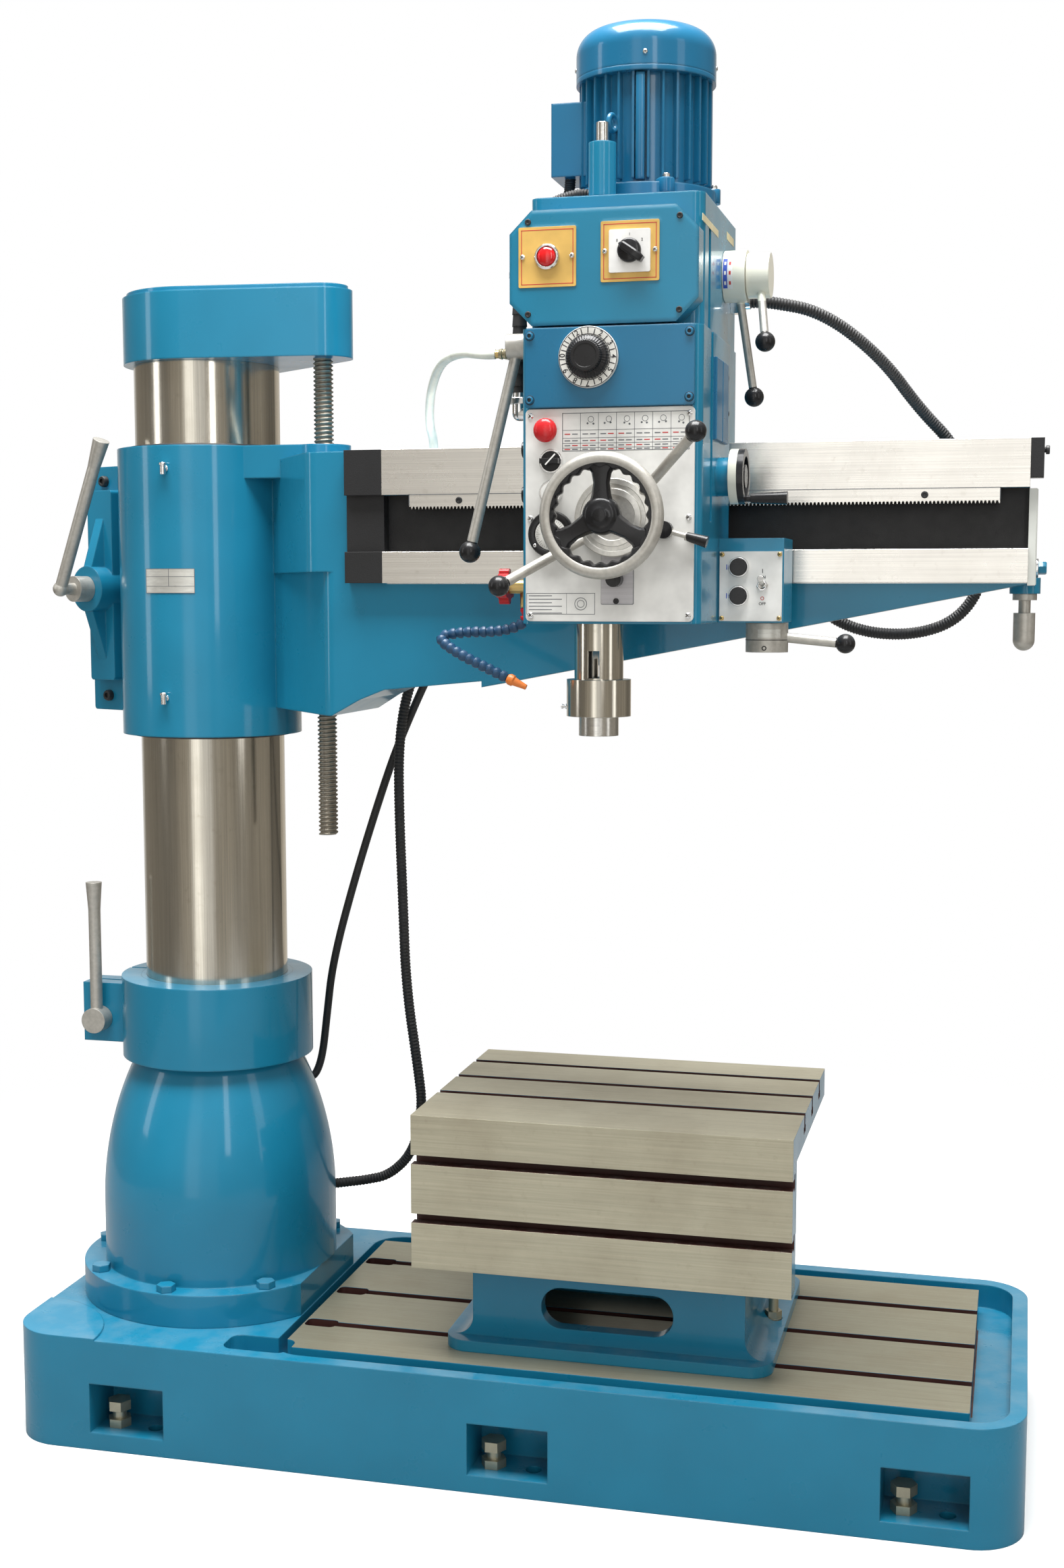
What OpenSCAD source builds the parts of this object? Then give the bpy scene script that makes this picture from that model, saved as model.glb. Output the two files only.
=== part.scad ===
// Radial arm drill: base, swivelling column, elevating arm and traversing head.
// Millimetres, +Z up, origin on the floor under the column axis, +X along the arm.

/* [Base] */
// Length of the base casting
base_l = 1415; // [1300:5:2000]
// Width of the base casting
base_w = 560; // [540:5:900]
// Height of the base casting
base_h = 160; // [140:1:240]
// Column axis to the left end of the base
base_back = 215; // [210:1:400]
// Corner radius of the base
base_r = 70; // [40:1:110]
// Width of the machined rim
rim_w = 22; // [12:1:30]
// Depth of the coolant trough
trough_d = 36; // [20:1:45]
// Start of the slotted face, from the column axis
plate_x = 185; // [180:1:260]
// Gap from the slotted face to the right end
plate_end = 72; // [50:1:150]
// Width of the slotted face
plate_w = 464; // [400:2:480]
// Neck width of the T-slots
slot_w = 16; // [12:1:20]
// Depth of the T-slots
slot_d = 32; // [26:1:34]
// Spacing of the T-slots in the base
slot_pitch = 135; // [100:1:150]
// Width of a foot pocket
pocket_w = 112; // [90:1:140]
// Height of a foot pocket
pocket_h = 72; // [60:1:90]
// Depth of a foot pocket
pocket_d = 75; // [60:1:90]
// Thickness under a foot pocket
pocket_floor = 25; // [16:1:40]
// Anchor hole diameter
anchor_d = 22; // [14:1:30]

/* [Pedestal and column] */
// Flange radius of the pedestal
flange_r = 206; // [200:1:212]
// Flange thickness
flange_h = 48; // [30:1:70]
// Bell radius of the pedestal
bell_r = 174; // [160:1:176]
// Straight height of the bell above the flange
bell_h = 92; // [60:1:160]
// Height of the bell's dome
dome_h = 220; // [160:1:280]
// Column diameter
column_d = 210; // [190:1:212]
// Column wall
column_wall = 20; // [12:1:30]
// Height of the column top above the floor
column_top = 1535; // [1500:1:1700]
// Bush thickness
bush_t = 8; // [5:1:10]
// Radius of the split clamp collar
collar_r = 142; // [132:1:160]
// Height of the split clamp collar
collar_h = 120; // [90:1:140]
// Slit in the clamp rings
slit_w = 6; // [3:1:10]
// Height of the column cap
cap_h = 100; // [60:1:140]
// Radius of the column cap
cap_r = 119; // [112:1:135]
// Elevating screw diameter
screw_d = 28; // [20:1:34]
// Elevating screw axis, along the arm
screw_x = 202; // [195:1:215]
// Elevating screw axis, toward the front
screw_y = -60; // [-80:1:-40]
// Length of the elevating screw under the cap
screw_l = 673; // [620:1:760]

/* [Arm] */
// Height of the arm barrel's lower edge at rest
arm_z = 1003; // [980:1:1020]
// Radius of the arm barrel
barrel_r = 131; // [122:1:145]
// Height of the arm barrel
barrel_h = 412; // [390:1:440]
// Distance of the way faces in front of the column axis
way_y = 235; // [225:1:260]
// Reach of the arm from the column axis
arm_l = 1172; // [1150:1:1400]
// Start of the ways from the column axis
way_x = 345; // [330:1:380]
// Thickness of the ways
way_t = 20; // [12:1:26]
// Depth of the arm beam behind the ways
beam_t = 120; // [90:1:150]
// Height of the upper way
way_up_h = 59; // [45:1:70]
// Height of the lower way
way_low_h = 41; // [30:1:55]
// Height over both ways
way_span = 174; // [168:1:200]
// Rack module
rack_m = 1.5; // [1:0.25:2]
// Rack height
rack_h = 19; // [14:1:24]

/* [Head] */
// Head axis from the column axis at rest
head_x = 700; // [660:1:740]
// Width of the head
head_w = 213; // [205:1:240]
// Depth of the head in front of the ways
head_d = 235; // [230:1:260]
// Height of the head front
head_h = 341; // [335:1:370]
// Drop of the head below the ways
head_drop = 49; // [44:1:60]
// Height of the gear case above the front
gear_h = 152; // [146:1:190]
// Width of the control box
box_w = 221; // [216:1:250]
// Height of the control box
box_h = 130; // [120:1:140]
// Depth of the control box
box_d = 32; // [26:1:40]
// Motor radius over the fins
motor_r = 80; // [70:1:90]
// Height of the finned motor body
motor_h = 133; // [110:1:180]
// Number of motor fins
motor_fins = 28; // [16:1:36]

/* [Spindle] */
// Quill diameter
quill_d = 60; // [58:1:64]
// Quill travel
quill_travel = 150; // [100:1:160]
// Spindle nose diameter
nose_d = 49; // [44:1:54]
// Large end of the taper socket
taper_d = 23.825; // [17.78:0.001:24.5]
// Depth of the taper socket
taper_l = 94; // [80:1:100]
// Diametral taper of the socket per length
taper_share = 0.0502; // [0.04:0.0001:0.06]
// Feed rack module
feed_m = 2; // [1.5:0.25:2]
// Feed pinion teeth
feed_teeth = 16; // [15:1:17]

/* [Box table] */
// Width of the box table
table_w = 520; // [480:1:600]
// Depth of the box table
table_d = 400; // [360:1:460]
// Height of the box table over the base face
table_h = 343; // [320:1:420]
// Thickness of the slotted plates
table_t = 40; // [36:1:55]
// Height of the slotted front plate
front_h = 214; // [190:1:230]
// Centre of the table along the base
table_x = 637; // [600:1:700]
// Front of the table from the column axis
table_y = 230; // [215:1:250]
// Neck width of the table slots
table_slot_w = 13; // [10:1:16]
// Spacing of the slots in the table top
top_pitch = 95; // [80:1:110]
// Spacing of the slots in the table front
front_pitch = 82; // [70:1:90]

/* [Hidden] */
$fn = 48;
over = 1;                 // overrun of cuts
slide = 0.3;              // gap of sliding and turning faces
run = 0.05;               // running clearance of shafts

blue = "#2f86c9";
steel = "#b5b3ad";
black = "#1c1c1e";
grey = "#a9adb0";
bronze = "#b08d4f";
red = "#c4242b";
cream = "#e9e9e4";

// base
base_x0 = -base_back;
base_x1 = base_l - base_back;
base_mid = base_l / 2 - base_back;
half_w = base_w / 2;
plate_x1 = base_x1 - plate_end;
pocket_shares = [0.131, 0.523, 0.912];
pocket_x = [for (s = pocket_shares) base_x0 + base_l * s];
pocket_y = half_w - pocket_d / 2;
anchor_off = 28;
jack_off = -28;
jack_d = 20;
jack_af = 30;
jack_head = 14;
jack_gap = 12;
slot_head_w = 28;
slot_head_h = 12;
slot_inset = 25;
entry_l = 46;
cavity_z = 92;
cavity_wall = 30;
cavity_rib = 26;
cavity_bays = 3;
sump_l = 96;
sump_w = 52;
sump_r = 16;
trough_gap = 13;
pump_r = 138;
pump_t = 3;

// pedestal and column
column_r = column_d / 2;
bore_r = column_r + bush_t;
flat_gap = 1;
flat_x = plate_x - trough_gap - flat_gap;
flange_top = base_h + flange_h;
dome_z = flange_top + bell_h;
neck_z = dome_z + dome_h;
neck_wall = 9;
neck_r = bore_r + neck_wall;
dome_sag = bell_r - neck_r;
dome_r = (dome_sag * dome_sag + dome_h * dome_h) / (2 * dome_sag);
ring_h = 15;
ring_share = 0.5;
floor_t = 30;
column_z = base_h + floor_t + ring_h;
low_bush_h = 90;
ped_bolts = 7;
ped_bolt_a = 48;
ped_bolt_step = 44;
ped_bolt_r = (flange_r + bell_r) / 2;
bolt_d = 16;
bolt_af = 24;
bolt_head = 10;
bolt_depth = 24;
ear_l = 38;
ear_w = 28;
ear_h = 90;
ear_low = 36;
ear_share = 0.38;
ear_z = neck_z + collar_h * ear_share;
ear_x = -collar_r - ear_l;
clamp_d = 18;
lever_d = 18;
lever_tip_d = 24;
lever_flare = 42;
lever_hub_r = 19;
lever_hub_w = 26;
clamp_lever_l = 210;
cap_tip_r = 42;
cap_bevel = 6;
cap_spigot = 25;
journal_d = 20;
journal_l = 30;
screw_len = norm([screw_x, screw_y]);
screw_a = atan2(screw_y, screw_x);

// arm
way_drop = 20;
arm_top = arm_z + barrel_h;
way_top = arm_top - way_drop;
way_z = way_top - way_span;
low_top = way_z + way_low_h;
up_z = way_top - way_up_h;
web_y = way_y - way_t;
beam_back = web_y - beam_t;
heel_rise = 40;
heel_run = 80;
toe_run = 40;
toe_rise = 22;
belly_run = 5;
belly_rise = 36;
step_run = 130;
step_rise = 81;
lip_h = 8;
tip_drop = 2;
tail_run = 70;
tail_share = 0.4;
neck_shares = [0.85, 0.3];
corner_x = 258;
corner_out = 24;
corner_step = 15;
corner_r = 24;
corner_shares = [0.3, 0.43, 0.52];
boss_r = 32;
boss_rim = 6;
nut_r = 24;
nut_h = 46;
nut_flange_r = 27;
nut_flange_h = 14;
nut_drop = 60;
nut_z = arm_top - nut_drop;
screw_gap = 2;
recess_t = 10;
rack_in = 38;
rack_out = 35;
rack_z = up_z - rack_h;
rack_pitch = PI * rack_m;
rack_x0 = way_x + rack_in;
rack_x1 = arm_l - rack_out;
rack_t = way_t - slide;
rack_teeth = 20;
pinion_z = rack_z + rack_m - rack_m * rack_teeth / 2;
pinion_shaft = 60;
stop_l = 52;
end_stop_t = 16;
end_stop_share = 0.8;
lug_t = 30;
lug_sink = 8;
lug_r = 217;
lug_bolt = 176;
clamp_a = -23.5;
lug_h = 366;
lug_rise = 28;
lug_z = arm_z + lug_rise;
lug_boss_r = 34;
lug_boss_l = 27;
lug_rib = 18;
plate_t = 8;
plate_in = 146;
plate_r = 5;
pad_t = 18;
pad_w = 54;
pad_low = 137;
pad_high = 147;
rib_run = 108;
rib_share = 0.9;
lug_pivot_rise = 211;
lug_pivot = arm_z + lug_pivot_rise;
lug_lean = 25;
lug_lever_l = 234;
elbow_out = 23;
elbow_share = 1.25;
lug_screw_in = 22;
cap_screw_d = 13;
cap_screw_h = 8;
barrel_screw_d = 14;
barrel_screw_h = 6;
barrel_screw_a = -112;
barrel_screw_low = 56;
barrel_screw_high = 46;
rack_screw_d = 9;
rack_screw_drop = 8;
rack_screw_shares = [0.09, 0.5, 0.88];
grip_in = 3;
grip_x = arm_l - grip_in;
grip_y = -(beam_back + web_y) / 2;
grip_drop = 14;
grip_boss_h = 20;
grip_rim = 4;
grip_l = 68;
grip_r = 15;
grip_foot = 8;
grip_neck = 24;
grip_cap = 10;
grip_share = 0.9;
cabinet_x = 430;
cabinet_w = 380;
cabinet_h = 170;
cabinet_d = 130;
cabinet_rise = 190;
cabinet_z = arm_z + cabinet_rise;
cabinet_rim = 12;
lift_motor_r = 52;
lift_motor_h = 190;
lift_x = 300;
lift_y = 28;
lift_cap = 8;
lift_foot = 40;
lift_fins = 18;
lift_groove_w = 6;
lift_groove_d = 6;
shelf_h = 46;
shelf_drop = 78;
shelf_z = arm_top - shelf_drop;
arm_gap = 0.5;

// head
head_z = way_z - head_drop;
head_y = -(way_y + head_d);
head_back = -(way_y + arm_gap);
head_x0 = head_x - head_w / 2;
head_x1 = head_x + head_w / 2;
head_top = head_z + head_h;
gear_top = head_top + gear_h;
gear_in = 4;
gear_back = 60;
gear_y0 = head_y + box_d;
gear_y1 = head_back + gear_back;
hook_h = head_drop - arm_gap;
hook_gap = 1;
edge_r = 14;
panel_t = 4;
panel_m = 7;
panel_foot = 3;
panel_h = 245;
panel_r = 6;
cover_h = 92;
cover_t = 8;
cover_gap = 1;
cover_r = 4;
cut_c = 26;
box_shift = 8;
box_lift = 2;
groove_w = 16;
groove_d = 10;
groove_y = 70;
groove_z = 120;
spin_in = 35;
spin_d = 125;
spin_x = head_x - spin_in;
spin_y = -(way_y + spin_d);
quill_r = quill_d / 2;
quill_rise = 300;
quill_drop = 69;
quill_top = head_z + quill_rise;
quill_z = head_z - quill_drop;
collar_q_r = 39.5;
collar_q_h = 45;
spin_r = 17.6;
spin_up_r = 14;
spin_gap = 4;
spin_drop = 20;
shoulder_l = 70;
quill_bore = 23;
nose_l = 24;
nose_z = quill_z - collar_q_h - nose_l;
nose_gap = 1;
spin_top = gear_top - spin_drop;
bearing_h = 20;
bearing_in = 2;
drift_w = 8;
drift_h = 33;
drift_z = quill_z + bearing_in;
window_w = 15;
feed_rise = 122;
feed_r = feed_m * feed_teeth / 2;
feed_x = spin_x + quill_r - feed_m + feed_r;
feed_z = head_z + feed_rise;
feed_y = spin_y;
feed_pitch = PI * feed_m;
gear_shares = [[-0.36, -1.2], [-0.13, 0.85], [0.13, 0.85], [0.36, -1.2]];
mouth_share = 0.40;
root_share = 0.20;
deep_share = 2.2;
room_share = 1.5;
pinion_w = 30;
shaft_r = 10;
capstan_r = 45;
capstan_t = 16;
capstan_gap = 5;
capstan_l = 140;
capstan_a = [40, 214];
rod_sink = 6;
ball_r = 12;
rod_r = 6;
rod_lean = 80;
wheel_r = 71;
wheel_t = 16;
wheel_out = 76;
wheel_y = head_y - wheel_out;
wheel_hub = 22;
wheel_shaft = 7;
wheel_bore = 40;
wheel_foot = 60;
rim_in = 18;
rim_t = 10;
rim_lip = 2;
spoke_w = 14;
spoke_in = 4;
engage_l = 52;
engage_a = -16;
engage_gap = 2;
engage_drop = 14;
engage_t = 12;
engage_rod_r = 3;
engage_grip_r = [5, 7];
engage_r = 10;
engage_x = feed_x + capstan_r + engage_r + engage_gap;
engage_z = feed_z - engage_drop;
motor_in = 11;
motor_back = 80;
motor_x = head_x + motor_in;
motor_y = -(way_y + motor_back);
fin_l = 9;
fin_t = 3;
fin_sink = 2;
fin_end = 6;
motor_core = motor_r - fin_l;
motor_flange_h = 21;
motor_rim = 6;
motor_flange_r = motor_r + motor_rim;
motor_z = gear_top + motor_flange_h;
fan_h = 57;
fan_rim = 4;
fan_r = motor_r + fan_rim;
fan_edge = 30;
fan_wall = 3;
fan_gap = 4;
fan_slots = 12;
fan_slot_w = 4;
fan_slot_l = 32;
fan_slot_in = 26;
tbox_w = 38;
tbox_d = 70;
tbox_h = 86;
tbox_z = 20;
lift_ring_r = 9;
lift_ring_t = 3;
lift_ring_a = -106;
lift_lug_l = 9;
lift_lug_w = 10;
lift_lug_h = 10;
lift_lug_drop = 70;
rotor_r = 12;
rotor_foot = 1;
rotor_tail = 22;
rotor_fan_r = 62;
rotor_fan_t = 4;
rotor_fan_h = 14;
rotor_blades = 8;
blade_t = 2;
oil_r = 16;
oil_h = 62;
oil_cap_h = 23;
oil_cap_share = 0.45;
oil_in = 20;
oil_back = 18;
oil_x = head_x - oil_in;
oil_y = gear_y0 + oil_back;
ebox_w = 80;
ebox_d = 85;
ebox_h = 102;
ebox_back = 95;
ebox_y = -(way_y + ebox_back);
ebox_rim = 2;
ebox_top = 16;
ebox_shares = [[0.32, 0.66], [0.32, 0.32], [0.68, 0.44]];
ebox_hole = 20;
ebox_stem = 18;
button_r = 10;
button_h = 6;
toggle_a = 70;
toggle_l = 24;
toggle_shares = [0.4, 0.65, 0.66];
hub_back = 36;
hub_rise = 80;
hub_y = -(way_y + hub_back);
hub_z = head_top + hub_rise;
hub_r = 31;
hub_step = 4;
hub_t = 28;
hub_shaft = 8;
speed_pin = 12;
inner_l = 145;
inner_a = 8;
outer_l = 96;
outer_a = -28;
speed_out_share = 0.14;
speed_rod_r = 5;
twheel_back = 105;
twheel_rise = 175;
twheel_y = -(way_y + twheel_back);
twheel_z = head_z + twheel_rise;
twheel_r = 33;
twheel_t = 18;
twheel_rim = 9;
twheel_hub = 14;
twheel_spoke = 8;
twheel_spoke_z = 5;
twheel_boss = 16;
twheel_boss_share = 0.7;
twheel_shaft = 8;
twheel_shaft_l = 36;
twheel_hole = 40;
twheel_grip = 44;
twheel_grip_in = 7;
twheel_neck_l = 6;
twheel_neck_r = 4;
twheel_grip_r = [6, 8];
lock_shares = [0.7, 0.4];
lock_x = head_x1 + ebox_w * lock_shares[0];
lock_y = ebox_y + ebox_d * lock_shares[1];
lock_r = 26;
lock_h = 36;
lock_l = 96;
lock_sink = 4;
lock_rise_shares = [0.5, 0.3];
range_back = 195;
range_rise = 325;
range_y = -(way_y + range_back);
range_z = head_z + range_rise;
range_l = 240;
range_out = 60;
range_hub_t = 24;
range_hub_r = 15;
range_pin_l = 12;
range_pin_r = 8;
range_hole = 15;
range_rod_r = 6.5;
range_ball_r = 13;
gcover_back = 95;
gcover_rise = 86;
gcover_y = -(way_y + gcover_back);
gcover_z = head_top + gcover_rise;
gcover_r = 52;
gcover_t = 17;
gcover_boss = 4;
gcover_share = 0.35;
valve_back = 20;
valve_rise = 44;
valve_y = spin_y + valve_back;
valve_z = head_z + valve_rise;
valve_l = 46;
valve_r = 9;
valve_af = 24;
valve_nut = 10;
valve_stem_r = 3.5;
valve_stem_l = 22;
valve_port_r = 7;
valve_port_x = 26;
star_r = 21;
star_t = 13;
star_share = 0.8;
star_lobe_share = 0.25;
star_lobes = 6;
hose_r = 7;
hose_neck_share = 0.72;
hose_links = 16;
hose_bore = 2.5;
nozzle_shares = [0.9, 0.7, 0.5];
nozzle_l = 26;
elbow_r = 9;
elbow_d = 18;
elbow_nut = 7;
elbow_nut_share = 2.5;
elbow_back = 70;
elbow_y = head_y + elbow_back;
elbow_low = 250;
elbow_high = 90;
rib_h = 14;
rib_r = 8;
ribs_n = 11;
barb_l = 62;
barb_r = 5;
barb_af = 18;
barb_nut = 14;
barb_back = 90;
barb_drop = 14;
barb_y = gear_y0 + barb_back;
barb_z = head_top - barb_drop;
nut_out = 20;
nut_back = 40;
nut_rise = 57;
nut_x = head_x1 + nut_out;
nut_y = gear_y1 - nut_back;
nut_top = head_top + nut_rise;
nut_af = 28;
nut_t = 12;
nut_stub_r = 9;
knob_y = 195;
knob_z = [216, 160];
knob_neck_l = 12;
knob_neck_r = 6;
knob_l = 34;
knob_big_r = 12;
knob_small_r = 10;

// places on the head front, as shares of its width and height
stop_shares = [0.155, 0.654];
select_shares = [0.178, 0.551];
start_shares = [0.178, 0.446];
depth_shares = [0.183, 0.305];
knob_shares = [0.540, 0.152];
dial_shares = [0.390, 0.894];
// places on the control box, as shares of the head's width and the gear case's height
lamp_shares = [0.155, 0.520];
switch_shares = [0.610, 0.540];
stop_at = front_place(stop_shares);
select_at = front_place(select_shares);
start_at = front_place(start_shares);
depth_at = front_place(depth_shares);
knob_at = front_place(knob_shares);
dial_at = front_place(dial_shares);
engage_at = [engage_x, engage_z];
lamp_at = [head_x0 + lamp_shares[0] * head_w, head_top + lamp_shares[1] * gear_h];
switch_at = [head_x0 + switch_shares[0] * head_w, head_top + switch_shares[1] * gear_h];
stop_r = 14;
stop_share = 0.7;
stop_lift = 6;
stop_cap = 6;
select_r = 11;
select_t = 5;
select_w = 6;
select_h = 14;
start_r = 10;
start_lift = 4;
start_t = 6;
depth_r = 27;
depth_t = 9;
depth_face = 3;
depth_share = 0.7;
knob_r = 9;
knob_t = 16;
dial_r = 35;
dial_t = 5;
dial_knob_r = 24;
dial_knob_t = 22;
lamp_hole = 9;
lamp_lens = 11;
lamp_lens_h = 8;
lamp_ring = 15;
lamp_ring_h = 5;
switch_r = 20;
switch_t = 6;
switch_bar_w = 12;
switch_bar_h = 18;
switch_stem = 20;
sign = 68;
sign_t = 1.2;
sign_r = 2;
stem = 6;
stem_l = 24;
stem_hole = 30;
engage_stem = 12;
press = 3;
seat = 0.4;
panel_screw_d = 7;
panel_screw_t = 2;
panel_screw_in = 6;
panel_screw_low = 10;
panel_screw_high = 5;
cover_screw_d = 9;
cover_screw_t = 4;
cover_screw_low = 9;
cover_screw_high = 10;
box_screw_d = 8;
box_screw_x = 22;
box_screw_z = 13;

// box table
table_x0 = table_x - table_w / 2;
table_top = base_h + table_h;
body_in = 25;
body_share = 0.75;
body_r = 30;
stand_w = 382;
stand_in = 65;
stand_y0 = table_y - stand_in;
stand_y1 = 100;
stand_t = 22;
stand_fillet = 26;
foot_h = 16;
foot_w = 458;
foot_y = 190;
foot_r = 34;
window_l = 185;
window_h = 58;
window_rise = 36;
window_z = base_h + window_rise;
t_head_w = 23;
t_head_h = 10;
t_depth = 26;
top_slot_share = 0.57;
front_slot_share = 0.29;
foot_bolt = 14;
foot_bolt_in = 20;
foot_bolt_gap = 1;
washer_t = 3;
spot_cut = 1;
stud_l = 34;

// conduit routes, chosen by hand
supply_route = [[head_x0 - barb_l, barb_y, barb_z], [head_x0 - barb_l - 16, barb_y, barb_z],
    [480, -325, 1506], [440, -280, 1500], [405, -210, 1470], [385, -150, 1435], [385, -130, 1415],
    [385, -130, way_top]];
loop_route = [[nut_x, nut_y, nut_top], [nut_x + 20, nut_y, nut_top], [915, -195, 1558], [985, -145, 1505],
    [1030, -90, 1445], [1075, -60, 1400], [1110, -40, 1320], [1118, -30, 1230], [1085, -22, 1172],
    [1020, -20, 1150], [940, -20, 1158], [880, -20, 1200], [850, -20, 1240],
    [cabinet_x + cabinet_w, -20, 1240]];
ground_route = [[cabinet_x, 15, 1225], [412, 15, 1225], [385, 60, 1200], [340, 105, 1150],
    [300, 122, 1090], [258, 122, 1000], [230, 122, 930], [180, 122, 780], [140, 122, 640],
    [126, 130, 550], [120, 126, 490], [112, 118, 460], [102.7, 108.2, 455]];
power_route = [[cabinet_x, 12, 1270], [410, 12, 1270], [385, 60, 1240], [345, 100, 1190],
    [300, 104, 1130], [270, 100, 1060], [257, 100, 980], [257, 100, 880], [262, 100, 740],
    [266, 100, 610], [284, 102, 480], [288, 110, 420], [268, 128, 345], [225, 140, 300],
    [185, 136, 290], [156, 116, 290], [140, 104, 290]];
// coolant hose points from the valve's port
coolant_route = [[0, 0, 0], [0, 0, -20], [-30, -10, -30], [-75, -20, -30], [-108, -28, -36],
    [-80, -42, -54], [-40, -44, -73], [-12, -44, -86]];
conduit_r = 8;
conduit_bore = 5.5;
conduit_ribs = 70;
conduit_groove = 1.4;
ground_r = 6;
supply_r = 6;
sides = 8;
side_dir = [0.31, 0.9, 0.27];

function front_place(s) = [head_x0 + s[0] * head_w, head_z + s[1] * head_h];
function unit(v) = v / norm(v);
function tangent(p, i) = unit(p[min(i + 1, len(p) - 1)] - p[max(i - 1, 0)]);
function chaikin(p) = [p[0], for (i = [0 : len(p) - 2]) each
    [p[i] * 0.75 + p[i + 1] * 0.25, p[i] * 0.25 + p[i + 1] * 0.75], p[len(p) - 1]];

// length along a route up to point i
function arc(p, i) = i == 0 ? 0 : arc(p, i - 1) + norm(p[i] - p[i - 1]);

// n points spread evenly along a route
function spread(p, n) = let (d = [for (i = [0 : len(p) - 1]) arc(p, i)], l = d[len(d) - 1])
    [for (i = [0 : n - 1]) [for (c = [0 : 2])
        lookup(l * i / (n - 1), [for (j = [0 : len(p) - 1]) [d[j], p[j][c]]])]];

// points of one ring of a tube
function ring_points(p, i, r) = let (t = tangent(p, i), u = unit(cross(t, side_dir)), w = cross(t, u))
    [for (k = [0 : sides - 1]) p[i] + r * (u * cos(k * 360 / sides) + w * sin(k * 360 / sides))];

// triangles between two rings of points that start at a and b
function band(a, b) = [for (k = [0 : sides - 1]) let (m = (k + 1) % sides) each
    [[a + k, b + k, b + m], [a + k, b + m, a + m]]];

// children drawn in x and z, growing toward -Y from y
module front(y) { translate([0, y, 0]) rotate([90, 0, 0]) children(); }

// children at a place on the front, growing toward -Y from y
module front_at(p, y) { front(y) translate([p[0], p[1], 0]) children(); }

// children drawn in y and z, growing toward +X from x
module right(x) { translate([x, 0, 0]) rotate([90, 0, 90]) children(); }

// children at y and z, growing toward +X from x
module right_at(x, y, z) { right(x) translate([y, z, 0]) children(); }

module rrect(w, h, r) {
    square([w - 2 * r, h], center = true);
    square([w, h - 2 * r], center = true);
    for (i = [-1, 1], j = [-1, 1]) translate([i * (w / 2 - r), j * (h / 2 - r)]) circle(r);
}

// rectangle from two corners with round corners
module span(a, b, r) { translate((a + b) / 2) rrect(b[0] - a[0], b[1] - a[1], r); }

module ring(h, ro, ri) {
    difference() {
        cylinder(h = h, r = ro);
        translate([0, 0, -over]) cylinder(h = h + 2 * over, r = ri);
    }
}

// hexagon prism across flats
module hex(h, af) { cylinder(h = h, r = af / sqrt(3), $fn = 6); }

// T-slot section, mouth at y = 0, going down
module tee(neck, head, head_h, depth) {
    translate([-neck / 2, -depth]) square([neck, depth + over]);
    translate([-head / 2, -depth]) square([head, head_h]);
}

// concave corner between two square edges
module fillet(r) {
    difference() {
        square(r);
        translate([r, r]) circle(r);
    }
}

// straight rod between two points
module rod(a, b, r1, r2) {
    d = b - a;
    translate(a) rotate([0, acos(d[2] / norm(d)), atan2(d[1], d[0])])
        cylinder(h = norm(d), r1 = r1, r2 = r2, $fn = 24);
}

module ball(p, r) { translate(p) sphere(r, $fn = 24); }

// plain round tube along a route
module tube(route, r) {
    p = chaikin(route);
    n = len(p);
    pts = [for (i = [0 : n - 1]) each ring_points(p, i, r)];
    polyhedron(pts, concat([[for (k = [0 : sides - 1]) k]],
        [for (i = [0 : n - 2]) each band(i * sides, (i + 1) * sides)],
        [[for (k = [sides - 1 : -1 : 0]) (n - 1) * sides + k]]));
}

// hose with a bore through points p, with a radius at each point and a ring of the bore at every step
module hose(p, radii, bore, step) {
    n = len(p);
    runs = (n - 1) / step;
    outer = [for (i = [0 : n - 1]) each ring_points(p, i, radii[i])];
    inner = [for (i = [0 : step : n - 1]) each ring_points(p, i, bore)];
    first = n * sides;
    last = first + runs * sides;
    polyhedron(concat(outer, inner), concat(
        [for (i = [0 : n - 2]) each band(i * sides, (i + 1) * sides)],
        [for (i = [0 : runs - 1]) each band(first + (i + 1) * sides, first + i * sides)],
        band(first, 0), band((n - 1) * sides, last)));
}

// ribbed hose along a route
module ribbed_hose(route, r, bore) {
    p = spread(chaikin(chaikin(chaikin(route))), 2 * conduit_ribs + 1);
    hose(p, [for (i = [0 : len(p) - 1]) r - conduit_groove * (i % 2)], bore, 2);
}

// gear outline with straight flanks
module gear(teeth, m) {
    rp = m * teeth / 2;
    step = 360 / teeth;
    polygon([for (i = [0 : teeth - 1], c = gear_shares) let (a = (i + c[0]) * step)
        (rp + m * c[1]) * [cos(a), sin(a)]]);
}

// one rack tooth space, mouth on the x axis, going down
module tooth_space(m) {
    mouth = PI * m * mouth_share;
    root = PI * m * root_share;
    polygon([[-mouth, over], [mouth, over], [mouth, 0], [root, -m * deep_share], [-root, -m * deep_share],
        [-mouth, 0]]);
}

module ped_bolt_places() {
    for (i = [0 : ped_bolts - 1]) rotate(ped_bolt_a + i * ped_bolt_step) translate([ped_bolt_r, 0, 0])
        children();
}

module foot_bolt_places() {
    for (i = [-1, 1]) translate([table_x + i * (foot_w / 2 - foot_bolt_in), 0, 0]) children();
}

module base_outline() { translate([base_mid, 0]) rrect(base_l, base_w, base_r); }

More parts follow.
